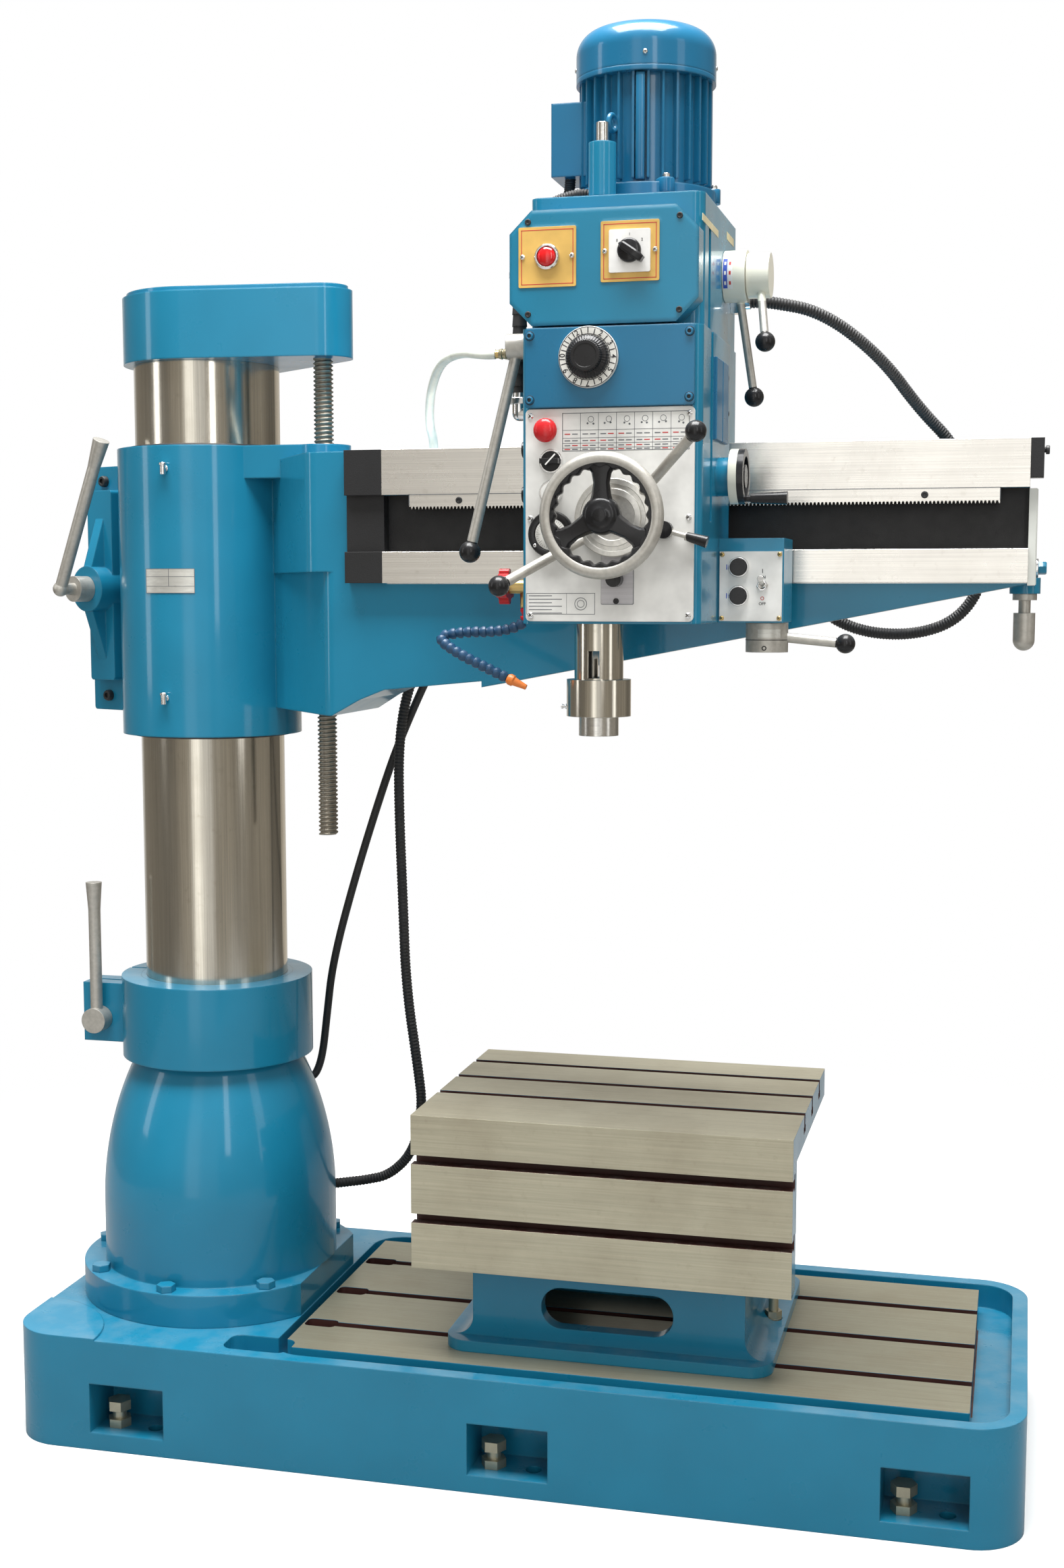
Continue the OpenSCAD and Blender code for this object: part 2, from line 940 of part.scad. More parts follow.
module base_casting() color(blue) {
    difference() {
        linear_extrude(base_h) base_outline();
        translate([0, 0, base_h - trough_d]) linear_extrude(trough_d + over) difference() {
            span([plate_x - trough_gap, -half_w + rim_w], [base_x1 - rim_w, half_w - rim_w], base_r - rim_w);
            translate([plate_x, -plate_w / 2]) square([plate_x1 - plate_x, plate_w]);
        }
        translate([plate_x - sump_l / 3, -plate_w / 2, base_h - trough_d])
            linear_extrude(trough_d + over) rrect(sump_l, sump_w, sump_r);
        for (j = [-1 : 1]) translate([0, j * slot_pitch, base_h]) {
            right(plate_x + slot_inset) linear_extrude(plate_x1 - plate_x - slot_inset + over)
                tee(slot_w, slot_head_w, slot_head_h, slot_d);
            translate([plate_x + slot_inset, 0, -slot_d]) linear_extrude(slot_d + over)
                rrect(entry_l, slot_head_w, slot_w / 2);
        }
        for (x = pocket_x, s = [-1, 1]) {
            translate([x, s * (half_w - pocket_d / 2 + over / 2), pocket_floor + pocket_h / 2])
                cube([pocket_w, pocket_d + over, pocket_h], center = true);
            translate([x + anchor_off, s * pocket_y, -over])
                cylinder(h = pocket_floor + 2 * over, d = anchor_d);
            translate([x + jack_off, s * pocket_y, -over]) cylinder(h = pocket_floor + 2 * over, d = jack_d);
        }
        for (i = [0 : cavity_bays - 1])
            let (l = (plate_x1 - plate_x - (cavity_bays - 1) * cavity_rib) / cavity_bays)
            translate([plate_x + i * (l + cavity_rib), -half_w + pocket_d + cavity_wall, -over])
                cube([l, base_w - 2 * (pocket_d + cavity_wall), cavity_z + over]);
        ped_bolt_places() translate([0, 0, base_h - bolt_depth]) cylinder(h = bolt_depth + over, d = bolt_d);
    }
    translate([0, 0, base_h]) linear_extrude(pump_t) intersection() {
        base_outline();
        translate([base_x0, -half_w]) circle(pump_r);
    }
}

module pedestal() color(blue) difference() {
    union() {
        translate([0, 0, base_h]) linear_extrude(flange_h) difference() {
            circle(flange_r, $fn = 96);
            translate([flat_x, -flange_r]) square(2 * flange_r);
        }
        rotate_extrude($fn = 96) {
            translate([0, base_h]) square([min(bell_r, flat_x), dome_z - base_h]);
            translate([0, flange_top]) square([bell_r, bell_h]);
            intersection() {
                translate([bell_r - dome_r, dome_z]) circle(dome_r, $fn = 144);
                translate([0, dome_z]) square([bell_r, dome_h]);
            }
        }
    }
    translate([0, 0, base_h + floor_t]) cylinder(h = neck_z, r = bore_r, $fn = 96);
    ped_bolt_places() translate([0, 0, base_h - over]) cylinder(h = flange_h + 2 * over, d = bolt_d);
}

module base_fasteners() color(steel) {
    for (x = pocket_x, s = [-1, 1]) translate([x + jack_off, s * pocket_y, 0]) {
        cylinder(h = pocket_floor + 2 * jack_gap, d = jack_d - 2 * run);
        translate([0, 0, pocket_floor]) hex(jack_gap, jack_af);
        translate([0, 0, pocket_floor + 2 * jack_gap]) hex(jack_head, jack_af);
    }
    ped_bolt_places() translate([0, 0, base_h - bolt_depth]) {
        cylinder(h = bolt_depth + flange_h, d = bolt_d - 2 * run);
        translate([0, 0, bolt_depth + flange_h]) hex(bolt_head, bolt_af);
    }
    foot_bolt_places() translate([0, 0, base_h - slot_d]) {
        translate([-slot_head_w / 2, -slot_head_w / 2 + slide, 0])
            cube([slot_head_w, slot_head_w - 2 * slide, slot_head_h - slide]);
        cylinder(h = slot_d + foot_h + stud_l, d = foot_bolt);
        translate([0, 0, slot_d + foot_h - spot_cut]) cylinder(h = washer_t, d = bolt_af);
        translate([0, 0, slot_d + foot_h - spot_cut + washer_t]) hex(bolt_head, bolt_af - washer_t);
    }
}

module clamp_collar() color(blue) difference() {
    union() {
        translate([0, 0, neck_z]) cylinder(h = collar_h, r = collar_r, $fn = 96);
        translate([ear_x - ear_w, -ear_w, ear_z - ear_low])
            cube([ear_w - ear_x - bore_r - slit_w, 2 * ear_w, ear_h]);
    }
    translate([0, 0, neck_z - over]) cylinder(h = collar_h + 2 * over, r = bore_r, $fn = 96);
    translate([-2 * collar_r, -slit_w / 2, neck_z - over]) cube([2 * collar_r, slit_w, collar_h + 2 * over]);
    front_at([ear_x, ear_z], ear_w + over) cylinder(h = 2 * (ear_w + over), d = clamp_d);
}

module column_bushes() color(bronze) {
    translate([0, 0, neck_z + slit_w]) ring(collar_h - slit_w, bore_r, column_r + run, $fn = 96);
    translate([0, 0, column_z + slide]) ring(low_bush_h, bore_r, column_r + run, $fn = 96);
    translate([0, 0, base_h + floor_t]) ring(ring_h, bore_r, column_r * ring_share);
}

module column_clamp_lever() color(grey) {
    hub = -ear_w - slide;
    tip = [ear_x, hub - lever_hub_w / 2, ear_z + clamp_lever_l];
    front_at([ear_x, ear_z], ear_w) cylinder(h = 2 * ear_w + lever_hub_w, d = clamp_d - 2 * run);
    front_at([ear_x, ear_z], hub) cylinder(h = lever_hub_w, r = lever_hub_r);
    rod([tip[0], tip[1], ear_z], tip, lever_d / 2, lever_d / 2);
    rod(tip - [0, 0, lever_flare], tip, lever_d / 2, lever_tip_d / 2);
}

module column() color(steel) translate([0, 0, column_z])
    ring(column_top - column_z, column_r, column_r - column_wall, $fn = 96);

module cap_outline(d) {
    r1 = cap_r - d;
    r2 = cap_tip_r - d;
    b = acos((cap_r - cap_tip_r) / screw_len);
    circle(r1, $fn = 96);
    rotate(screw_a) {
        translate([screw_len, 0]) circle(r2);
        polygon([[r1 * cos(b), r1 * sin(b)], [screw_len + r2 * cos(b), r2 * sin(b)],
            [screw_len + r2 * cos(b), -r2 * sin(b)], [r1 * cos(b), -r1 * sin(b)]]);
    }
}

module column_cap() color(blue) difference() {
    union() {
        translate([0, 0, column_top]) linear_extrude(cap_h - cap_bevel) cap_outline(0);
        translate([0, 0, column_top + cap_h - cap_bevel]) linear_extrude(cap_bevel) cap_outline(cap_bevel);
        translate([0, 0, column_top - cap_spigot])
            cylinder(h = cap_spigot, r = column_r - column_wall - run, $fn = 96);
    }
    translate([screw_x, screw_y, column_top - over]) cylinder(h = journal_l + over, d = journal_d);
}

module elevating_screw() color(steel) translate([screw_x, screw_y, column_top - screw_l]) {
    cylinder(h = screw_l, d = screw_d);
    translate([0, 0, screw_l]) cylinder(h = journal_l, d = journal_d - 2 * run);
}

// side outline of the beam in x and z
module beam_side() {
    foot = arm_z + heel_rise;
    step_x = way_x + step_run;
    step_z = arm_z + step_rise;
    polygon([[0, foot], [way_x - heel_run, foot], [way_x - toe_run, foot + toe_rise],
        [way_x - belly_run, foot + belly_rise], [step_x, step_z + lip_h], [step_x, step_z],
        [arm_l, way_z - tip_drop], [arm_l, way_top], [0, way_top]]);
}

// plan outline of the beam, whose front corner is rounded at x
module beam_plan(x) {
    polygon([[barrel_r * neck_shares[0], -barrel_r * neck_shares[1]],
        [x - corner_r * corner_shares[0], -web_y + corner_r * corner_shares[1]],
        [x + corner_r * corner_shares[2], -web_y], [arm_l, -web_y], [arm_l, -beam_back],
        [way_x + tail_run, -beam_back], [barrel_r, barrel_r * tail_share], [0, barrel_r * tail_share]]);
    translate([x + corner_r * corner_shares[2], -web_y + corner_r]) circle(corner_r);
}

// children turned to the clamping side of the barrel, where -X leads out of the slit
module clamp_side() { rotate(clamp_a) children(); }

module arm_casting() color(blue) difference() {
    union() {
        translate([0, 0, arm_z]) cylinder(h = barrel_h, r = barrel_r, $fn = 96);
        for (c = [[arm_z, corner_x, barrel_h], [way_z + corner_step, corner_x - corner_out, barrel_h]])
            intersection() {
                front(barrel_r) linear_extrude(barrel_r + web_y) beam_side();
                translate([0, 0, c[0]]) linear_extrude(c[2]) beam_plan(c[1]);
            }
        clamp_side() translate([-lug_r, -slit_w / 2 - lug_t, lug_z])
            cube([lug_r - column_r - lug_sink, slit_w + 2 * lug_t, lug_h]);
        for (w = [[way_z, way_low_h], [up_z, way_up_h]])
            translate([way_x, -way_y, w[0]]) cube([arm_l - way_x, way_t, w[1]]);
        translate([screw_x, screw_y, way_top - over])
            cylinder(h = way_drop + over, r = boss_r + boss_rim);
        translate([0, screw_y - boss_r, arm_top - shelf_h]) cube([screw_x, 2 * boss_r, shelf_h]);
        translate([barrel_r, screw_y, shelf_z])
            cube([lift_x + lift_motor_r - barrel_r, lift_y + lift_motor_r - screw_y, shelf_h]);
        translate([grip_x, grip_y, way_z - grip_drop]) cylinder(h = grip_boss_h, r = grip_r + grip_rim);
    }
    translate([0, 0, arm_z - over]) cylinder(h = barrel_h + 2 * over, r = column_r + run, $fn = 96);
    clamp_side() {
        translate([-2 * barrel_r, -slit_w / 2, arm_z - over])
            cube([2 * barrel_r, slit_w, barrel_h + 2 * over]);
        front_at([-lug_bolt, lug_pivot], slit_w / 2 + lug_t + over)
            cylinder(h = slit_w + 2 * (lug_t + over), d = clamp_d);
    }
    translate([screw_x, screw_y, arm_z]) cylinder(h = barrel_h + over, d = screw_d + 2 * screw_gap);
    translate([screw_x, screw_y, nut_z]) cylinder(h = nut_h, r = nut_flange_r + over);
    translate([way_x, -web_y - over, low_top]) cube([arm_l, recess_t + over, up_z - low_top]);
}

module traverse_rack() color(steel) difference() {
    translate([rack_x0, -way_y + slide, rack_z]) cube([rack_x1 - rack_x0, rack_t, rack_h]);
    for (k = [ceil((rack_x0 - head_x) / rack_pitch) : floor((rack_x1 - head_x) / rack_pitch)])
        front_at([head_x + k * rack_pitch, rack_z], -web_y + over) rotate(180)
            linear_extrude(way_t + 2 * over) tooth_space(rack_m);
}

module traverse_pinion() color(steel) {
    front_at([head_x, pinion_z], -web_y - 2 * slide) rotate(90)
        linear_extrude(way_t - 4 * slide) gear(rack_teeth, rack_m);
    front_at([head_x, pinion_z], -web_y - 2 * slide)
        cylinder(h = way_t + pinion_shaft - 2 * slide, r = shaft_r);
}

module way_stops() color(black) {
    for (w = [[way_z, way_low_h], [up_z, way_up_h]])
        translate([way_x - stop_l, -way_y, w[0]]) cube([stop_l, way_t, w[1]]);
    translate([way_x - stop_l, -web_y - recess_t, low_top]) cube([stop_l, recess_t, up_z - low_top]);
    translate([arm_l, -way_y, way_top - way_up_h * end_stop_share])
        cube([end_stop_t, way_t + recess_t, way_up_h * end_stop_share]);
}

module arm_handle() color(grey) translate([grip_x, grip_y, way_z - grip_drop]) rotate([180, 0, 0])
    rotate_extrude() {
        square([grip_r, grip_foot]);
        square([grip_r / 2, grip_l]);
        translate([0, grip_neck]) square([grip_r * grip_share, grip_l - grip_neck - grip_cap]);
        intersection() {
            translate([0, grip_l - grip_cap]) circle(grip_r * grip_share);
            translate([0, grip_l - grip_cap]) square(grip_r);
        }
    }

module arm_clamp_bracket() color(blue) clamp_side() difference() {
    y = -slit_w / 2 - lug_t;
    union() {
        front(y) linear_extrude(plate_t) span([-lug_r, lug_z], [-plate_in, lug_z + lug_h], plate_r);
        front(y - plate_t + over) linear_extrude(pad_t + over)
            span([-lug_bolt - pad_w / 2, lug_pivot - pad_low],
                [-lug_bolt + pad_w / 2, lug_pivot + pad_high], plate_r);
        front_at([-lug_bolt, lug_pivot], y) cylinder(h = plate_t + pad_t + lug_boss_l, r = lug_boss_r);
        translate([-lug_bolt - lug_rib / 2, y - plate_t - pad_t, lug_pivot]) rotate([90, 0, 90])
            linear_extrude(lug_rib) polygon([[over, -rib_run], [over, rib_run],
                [-lug_boss_l * rib_share, lug_boss_r], [-lug_boss_l * rib_share, -lug_boss_r]]);
    }
    front_at([-lug_bolt, lug_pivot], y + over)
        cylinder(h = plate_t + pad_t + lug_boss_l + 2 * over, d = clamp_d);
}

module arm_clamp_lever() color(grey) clamp_side() {
    y = -slit_w / 2 - lug_t - plate_t - pad_t - lug_boss_l - slide;
    elbow = [-lug_bolt, y - lever_hub_w - elbow_out, lug_pivot];
    tip = elbow + lug_lever_l * [sin(lug_lean), 0, cos(lug_lean)];
    front_at([-lug_bolt, lug_pivot], slit_w / 2 + lug_t)
        cylinder(h = slit_w / 2 + lug_t - elbow[1], d = clamp_d - 2 * run);
    front_at([-lug_bolt, lug_pivot], y) cylinder(h = lever_hub_w, r = lever_hub_r);
    ball(elbow, lever_d * elbow_share / 2);
    rod(elbow, tip, lever_d / 2, lever_d / 2);
    rod(tip + (elbow - tip) * lever_flare / lug_lever_l, tip, lever_d / 2, lever_tip_d / 2);
}

module arm_screws() color(steel) {
    for (s = rack_screw_shares)
        front_at([rack_x0 + s * (rack_x1 - rack_x0), up_z - rack_screw_drop], -way_y + slide)
            cylinder(h = slide, d = rack_screw_d);
    clamp_side() for (z = [lug_z + lug_screw_in, lug_z + lug_h - lug_screw_in])
        front_at([-(lug_r + plate_in) / 2, z], -slit_w / 2 - lug_t - plate_t)
            cylinder(h = cap_screw_h, d = cap_screw_d);
    for (z = [arm_z + barrel_screw_low, arm_top - barrel_screw_high])
        translate([0, 0, z]) rotate(barrel_screw_a) rotate([0, 90, 0]) translate([0, 0, barrel_r])
            cylinder(h = barrel_screw_h, d = barrel_screw_d);
}

module control_cabinet() color(blue) translate([cabinet_x, -beam_back, cabinet_z]) {
    cube([cabinet_w, cabinet_d, cabinet_h]);
    translate([cabinet_rim, cabinet_d, cabinet_rim])
        cube([cabinet_w - 2 * cabinet_rim, pump_t, cabinet_h - 2 * cabinet_rim]);
}

module elevating_motor() color(grey) translate([lift_x, lift_y, shelf_z - lift_motor_h]) difference() {
    cylinder(h = lift_motor_h, r = lift_motor_r);
    for (i = [0 : lift_fins - 1]) rotate(i * 360 / lift_fins)
        translate([lift_motor_r - lift_groove_d, -lift_groove_w / 2, lift_foot])
            cube([lift_groove_d + over, lift_groove_w, lift_motor_h - 2 * lift_foot + lift_cap]);
}

module elevating_nut() color(bronze) translate([screw_x, screw_y, nut_z + slide]) difference() {
    union() {
        cylinder(h = nut_h - 2 * slide, r = nut_r);
        cylinder(h = nut_flange_h, r = nut_flange_r);
    }
    translate([0, 0, -over]) cylinder(h = nut_h + 2 * over, d = screw_d + 2 * slide);
}

module head_casting() color(blue) difference() {
    union() {
        translate([0, 0, head_z]) linear_extrude(head_h)
            span([head_x0, head_y + panel_t], [head_x1, head_back], edge_r);
        translate([0, 0, head_top]) linear_extrude(gear_h)
            span([head_x0 + gear_in, gear_y0], [head_x1 - gear_in, gear_y1], edge_r);
        translate([head_x0 + gear_in, head_back - over, way_top + arm_gap])
            cube([head_w - 2 * gear_in, gear_back + over, head_top - way_top - arm_gap]);
        translate([head_x0 + gear_in, head_back - over, head_z])
            cube([head_w - 2 * gear_in, way_t - hook_gap + over, hook_h]);
        right_at(head_x1 - over, twheel_y, twheel_z)
            cylinder(h = twheel_boss + over, r = twheel_r * twheel_boss_share);
    }
    translate([spin_x, spin_y, head_z - over]) cylinder(h = head_h + over, r = quill_r + run);
    translate([spin_x, spin_y, head_z]) cylinder(h = spin_top - head_z + spin_gap, r = spin_up_r + spin_gap);
    front_at([feed_x, feed_z], feed_y + pinion_w)
        cylinder(h = 2 * pinion_w, r = feed_r + feed_m * room_share);
    front_at([feed_x, feed_z], feed_y) cylinder(h = feed_y - head_y + over, r = shaft_r + run);
    front_at([head_x, pinion_z], head_back + over) cylinder(h = pinion_shaft + over, r = shaft_r + run);
    right_at(head_x1 - twheel_hole, twheel_y, twheel_z) cylinder(h = 2 * twheel_hole, r = twheel_shaft + run);
    right_at(head_x1 - gear_in - speed_pin, hub_y, hub_z) cylinder(h = 2 * speed_pin, r = hub_shaft + run);
    right_at(head_x0 - over, range_y, range_z) cylinder(h = range_hole + over, r = range_pin_r + run);
    translate([head_x1 - groove_d, head_y + groove_y, head_z + groove_z])
        cube([groove_d + over, groove_w, head_h]);
    for (p = [stop_at, select_at, start_at, depth_at, knob_at, dial_at, engage_at])
        front_at(p, head_y + stem_hole) cylinder(h = stem_hole + over, r = stem + run);
}

module front_panel() color(cream) difference() {
    front(head_y + panel_t) linear_extrude(panel_t) span([head_x0 + panel_m, head_z + panel_foot],
        [head_x1 - panel_m, head_z + panel_foot + panel_h], panel_r);
    for (p = [stop_at, select_at, start_at, depth_at, knob_at, engage_at])
        front_at(p, head_y + panel_t + over) cylinder(h = panel_t + 2 * over, r = stem + run);
    front_at([feed_x, feed_z], head_y + panel_t + over)
        cylinder(h = panel_t + 2 * over, r = shaft_r + slide);
}

module upper_cover() color(blue) difference() {
    front(head_y + panel_t) linear_extrude(cover_t)
        span([head_x0 + panel_m, head_top - cover_h], [head_x1 - panel_m, head_top - cover_gap], cover_r);
    front_at(dial_at, head_y + panel_t + over) cylinder(h = cover_t + 2 * over, r = stem + run);
}

// octagonal front of the control box
module octagon(w, h, c) {
    polygon([[-w / 2 + c, -h / 2], [w / 2 - c, -h / 2], [w / 2, -h / 2 + c], [w / 2, h / 2 - c],
        [w / 2 - c, h / 2], [-w / 2 + c, h / 2], [-w / 2, h / 2 - c], [-w / 2, -h / 2 + c]]);
}

module control_box() color(blue) difference() {
    union() {
        front_at([head_x - box_shift, head_top + box_lift + box_h / 2], gear_y0)
            linear_extrude(box_d) octagon(box_w, box_h, cut_c);
        for (p = [lamp_at, switch_at]) front_at(p, head_y) linear_extrude(sign_t) rrect(sign, sign, sign_r);
    }
    front_at(switch_at, gear_y0 + over) cylinder(h = box_d + sign_t + 2 * over, r = stem + run);
    front_at(lamp_at, gear_y0 + over) cylinder(h = box_d + sign_t + 2 * over, r = lamp_hole);
}

module lamp() color(red) front_at(lamp_at, head_y - sign_t) {
    cylinder(h = lamp_ring_h, r = lamp_ring);
    cylinder(h = lamp_lens_h, r = lamp_lens);
    translate([0, 0, -box_d]) cylinder(h = box_d, r = lamp_hole - run);
}

module panel_screws() color(steel) {
    m = panel_m + panel_screw_in;
    for (x = [head_x0 + m, head_x1 - m]) {
        for (z = [head_z + panel_screw_low, head_z + panel_h / 2, head_z + panel_h - panel_screw_high])
            front_at([x, z], head_y) cylinder(h = panel_screw_t, d = panel_screw_d);
        for (z = [head_top - cover_h + cover_screw_low, head_top - cover_screw_high])
            front_at([x, z], head_y + panel_t - cover_t) cylinder(h = cover_screw_t, d = cover_screw_d);
    }
    for (i = [-1, 1], j = [-1, 1])
        front_at([head_x - box_shift + i * (box_w / 2 - box_screw_x),
            head_top + box_lift + box_h / 2 + j * (box_h / 2 - box_screw_z)], head_y)
            cylinder(h = panel_screw_t, d = box_screw_d);
}

module drive_motor() color(blue) translate([motor_x, motor_y, gear_top]) {
    ring(motor_flange_h, motor_flange_r, rotor_r + slide);
    translate([0, 0, motor_flange_h]) {
        ring(motor_h, motor_core, rotor_r + slide);
        translate([0, 0, motor_h - fin_end]) ring(fin_end, fan_r, rotor_r + slide);
        for (i = [0 : motor_fins - 1]) rotate(i * 360 / motor_fins)
            translate([motor_core - fin_sink, -fin_t / 2, fin_end])
                cube([fin_l + fin_sink, fin_t, motor_h - 2 * fin_end]);
        translate([-motor_core - tbox_w, -tbox_d / 2, tbox_z]) cube([tbox_w + fin_l, tbox_d, tbox_h]);
        rotate(lift_ring_a) {
            translate([motor_core - fin_sink, -lift_lug_w / 2, motor_h - lift_lug_drop])
                cube([lift_lug_l, lift_lug_w, lift_lug_h]);
            translate([motor_core + lift_lug_l + lift_ring_r - fin_sink, 0,
                motor_h - lift_lug_drop + lift_lug_h / 2]) rotate([90, 0, 0])
                rotate_extrude($fn = 24) translate([lift_ring_r, 0]) circle(lift_ring_t, $fn = 16);
        }
    }
}

module fan_cover() color(blue) translate([motor_x, motor_y, motor_z + motor_h]) difference() {
    rotate_extrude() {
        square([fan_r, fan_h - fan_edge]);
        square([fan_r - fan_edge, fan_h]);
        intersection() {
            translate([fan_r - fan_edge, fan_h - fan_edge]) circle(fan_edge);
            square([fan_r, fan_h]);
        }
    }
    translate([0, 0, -over]) cylinder(h = fan_h - fan_edge - fan_wall + over, r = fan_r - fan_wall);
    for (i = [0 : fan_slots - 1]) rotate(i * 360 / fan_slots)
        translate([fan_slot_in, -fan_slot_w / 2, 0]) cube([fan_slot_l, fan_slot_w, fan_h + over]);
}

module motor_rotor() color(steel) translate([motor_x, motor_y, gear_top + rotor_foot]) {
    cylinder(h = motor_flange_h + motor_h + rotor_tail, r = rotor_r);
    translate([0, 0, motor_flange_h + motor_h + fan_gap]) {
        cylinder(h = rotor_fan_t, r = rotor_fan_r);
        for (i = [0 : rotor_blades - 1]) rotate(i * 360 / rotor_blades)
            translate([rotor_r / 2, -blade_t / 2, 0]) cube([rotor_fan_r - rotor_r, blade_t, rotor_fan_h]);
    }
}

module oil_cup() color(blue) translate([oil_x, oil_y, gear_top]) {
    cylinder(h = oil_h, r = oil_r);
    translate([0, 0, oil_h]) cylinder(h = oil_cap_h, r = oil_r * oil_cap_share);
}

module elevation_box() color(blue) translate([head_x1, ebox_y, head_z]) difference() {
    union() {
        cube([ebox_w, ebox_d, ebox_h]);
        translate([ebox_rim, -panel_t / 2, ebox_rim])
            cube([ebox_w - 2 * ebox_rim, panel_t, ebox_h - ebox_rim - ebox_top]);
    }
    for (s = ebox_shares) translate([s[0] * ebox_w, ebox_hole, s[1] * ebox_h]) rotate([90, 0, 0])
        cylinder(h = 2 * ebox_hole, r = stem + run);
}

module gear_cover() color(grey) right_at(head_x0 + gear_in - gcover_t, gcover_y, gcover_z) rotate_extrude() {
    square([gcover_r, gcover_t]);
    translate([0, -gcover_boss]) square([gcover_r * gcover_share, gcover_t]);
}

module elbow(p, d) {
    translate(p) {
        rotate([0, -90, 0]) cylinder(h = d, r = elbow_r);
        translate([-d, 0, 0]) sphere(elbow_r);
        translate([-d, 0, 0]) cylinder(h = d, r = elbow_r);
        translate([-d, 0, d - elbow_nut]) hex(elbow_nut, elbow_r * elbow_nut_share);
    }
}

module conduit_fittings() color(grey) {
    elbow([head_x0, elbow_y, head_z + elbow_low], elbow_d);
    mirror([0, 0, 1]) elbow([head_x0 + gear_in, elbow_y, -head_top - elbow_high], elbow_d + gear_in);
    for (i = [0 : ribs_n - 1])
        translate([head_x0 - elbow_d, elbow_y, head_z + elbow_low + elbow_d + i * rib_h])
            cylinder(h = rib_h, r1 = elbow_r, r2 = rib_r);
    right_at(head_x1 - gear_in, nut_y, nut_top) {
        hex(nut_t, nut_af);
        cylinder(h = nut_out + gear_in, r = nut_stub_r);
    }
    translate([head_x0, barb_y, barb_z]) rotate([0, -90, 0]) {
        hex(barb_nut, barb_af);
        cylinder(h = barb_l, r = barb_r);
    }
    for (z = knob_z) translate([head_x0, head_y + knob_y, head_z + z]) rotate([0, -90, 0]) {
        cylinder(h = knob_neck_l, r = knob_neck_r);
        translate([0, 0, knob_neck_l]) cylinder(h = knob_l, r1 = knob_big_r, r2 = knob_small_r);
    }
}

module coolant_valve() color(bronze) translate([head_x0, valve_y, valve_z]) rotate([0, -90, 0]) {
    hex(valve_nut, valve_af);
    cylinder(h = valve_l, r = valve_r);
    translate([0, 0, valve_l]) cylinder(h = valve_stem_l, r = valve_stem_r);
    translate([0, 0, valve_port_x]) rotate([0, -90, 0]) cylinder(h = valve_port_x, r = valve_port_r);
}

module valve_handle() color(red) translate([head_x0 - valve_l - slide, valve_y, valve_z]) rotate([0, -90, 0])
    linear_extrude(star_t) difference() {
        union() {
            circle(star_r * star_share);
            for (i = [0 : star_lobes - 1]) rotate(i * 360 / star_lobes)
                translate([star_r * star_share, 0]) circle(star_r * star_lobe_share);
        }
        circle(valve_stem_r + run);
    }

// jointed hose of ball segments with a tapered nozzle
module coolant_hose() color(blue) translate([head_x0 - valve_port_x, valve_y, valve_z - valve_port_x]) {
    step = len(nozzle_shares);
    p = spread(chaikin(chaikin(coolant_route)), step * hose_links + 1);
    end = p[step * hose_links];
    tip = nozzle_l * unit(end - p[step * hose_links - 1]);
    radii = [for (i = [0 : step * hose_links]) hose_r * (i % step == 0 ? hose_neck_share : 1)];
    hose(concat(p, [for (k = [1 : step]) end + tip * k / step]), concat(radii, hose_r * nozzle_shares),
        hose_bore, step);
}

module quill() color(steel) difference() {
    translate([spin_x, spin_y, quill_z - collar_q_h]) {
        cylinder(h = quill_top - quill_z + collar_q_h, r = quill_r);
        cylinder(h = collar_q_h, r = collar_q_r);
    }
    translate([spin_x, spin_y, quill_z - collar_q_h - over])
        cylinder(h = quill_top - quill_z + collar_q_h + 2 * over, r = quill_bore);
    for (k = [-2 : ceil(quill_travel / feed_pitch) + 2])
        front_at([spin_x + quill_r, feed_z + k * feed_pitch], spin_y + quill_r) rotate(-90)
            linear_extrude(2 * quill_r) tooth_space(feed_m);
    translate([spin_x - window_w / 2, spin_y - 2 * quill_r, drift_z]) cube([window_w, 4 * quill_r, drift_h]);
}

module spindle_bearings() color(steel) translate([spin_x, spin_y, 0]) {
    translate([0, 0, quill_z - collar_q_h + bearing_in]) ring(bearing_h, quill_bore, spin_r + run);
    translate([0, 0, quill_top - bearing_h - bearing_in]) ring(bearing_h, quill_bore, spin_up_r + run);
}

module spindle() color(steel) difference() {
    translate([spin_x, spin_y, nose_z]) {
        cylinder(h = nose_l - nose_gap, d = nose_d);
        cylinder(h = taper_l + shoulder_l, r = spin_r);
        cylinder(h = spin_top - nose_z, r = spin_up_r);
    }
    translate([spin_x, spin_y, nose_z - over])
        cylinder(h = taper_l + over, d1 = taper_d + over * taper_share, d2 = taper_d - taper_l * taper_share);
    translate([spin_x - drift_w / 2, spin_y - quill_r, drift_z]) cube([drift_w, 2 * quill_r, drift_h]);
}

module capstan() color(grey) {
    y = head_y - capstan_gap;
    p = [feed_x, y - capstan_t / 2, feed_z];
    front_at([feed_x, feed_z], feed_y + pinion_w / 2) linear_extrude(pinion_w) gear(feed_teeth, feed_m);
    front_at([feed_x, feed_z], feed_y) difference() {
        cylinder(h = feed_y - y + capstan_t, r = shaft_r);
        translate([0, 0, wheel_bore]) cylinder(h = feed_y - y, r = wheel_shaft + run);
    }
    front_at([feed_x, feed_z], y) ring(capstan_t, capstan_r, wheel_shaft + run);
    for (a = capstan_a) {
        d = [cos(a), 0, sin(a)];
        end = p + d * capstan_l - [0, rod_lean, 0];
        rod(p + d * (capstan_r - rod_sink), end, rod_r, rod_r);
        ball(end, ball_r);
    }
}

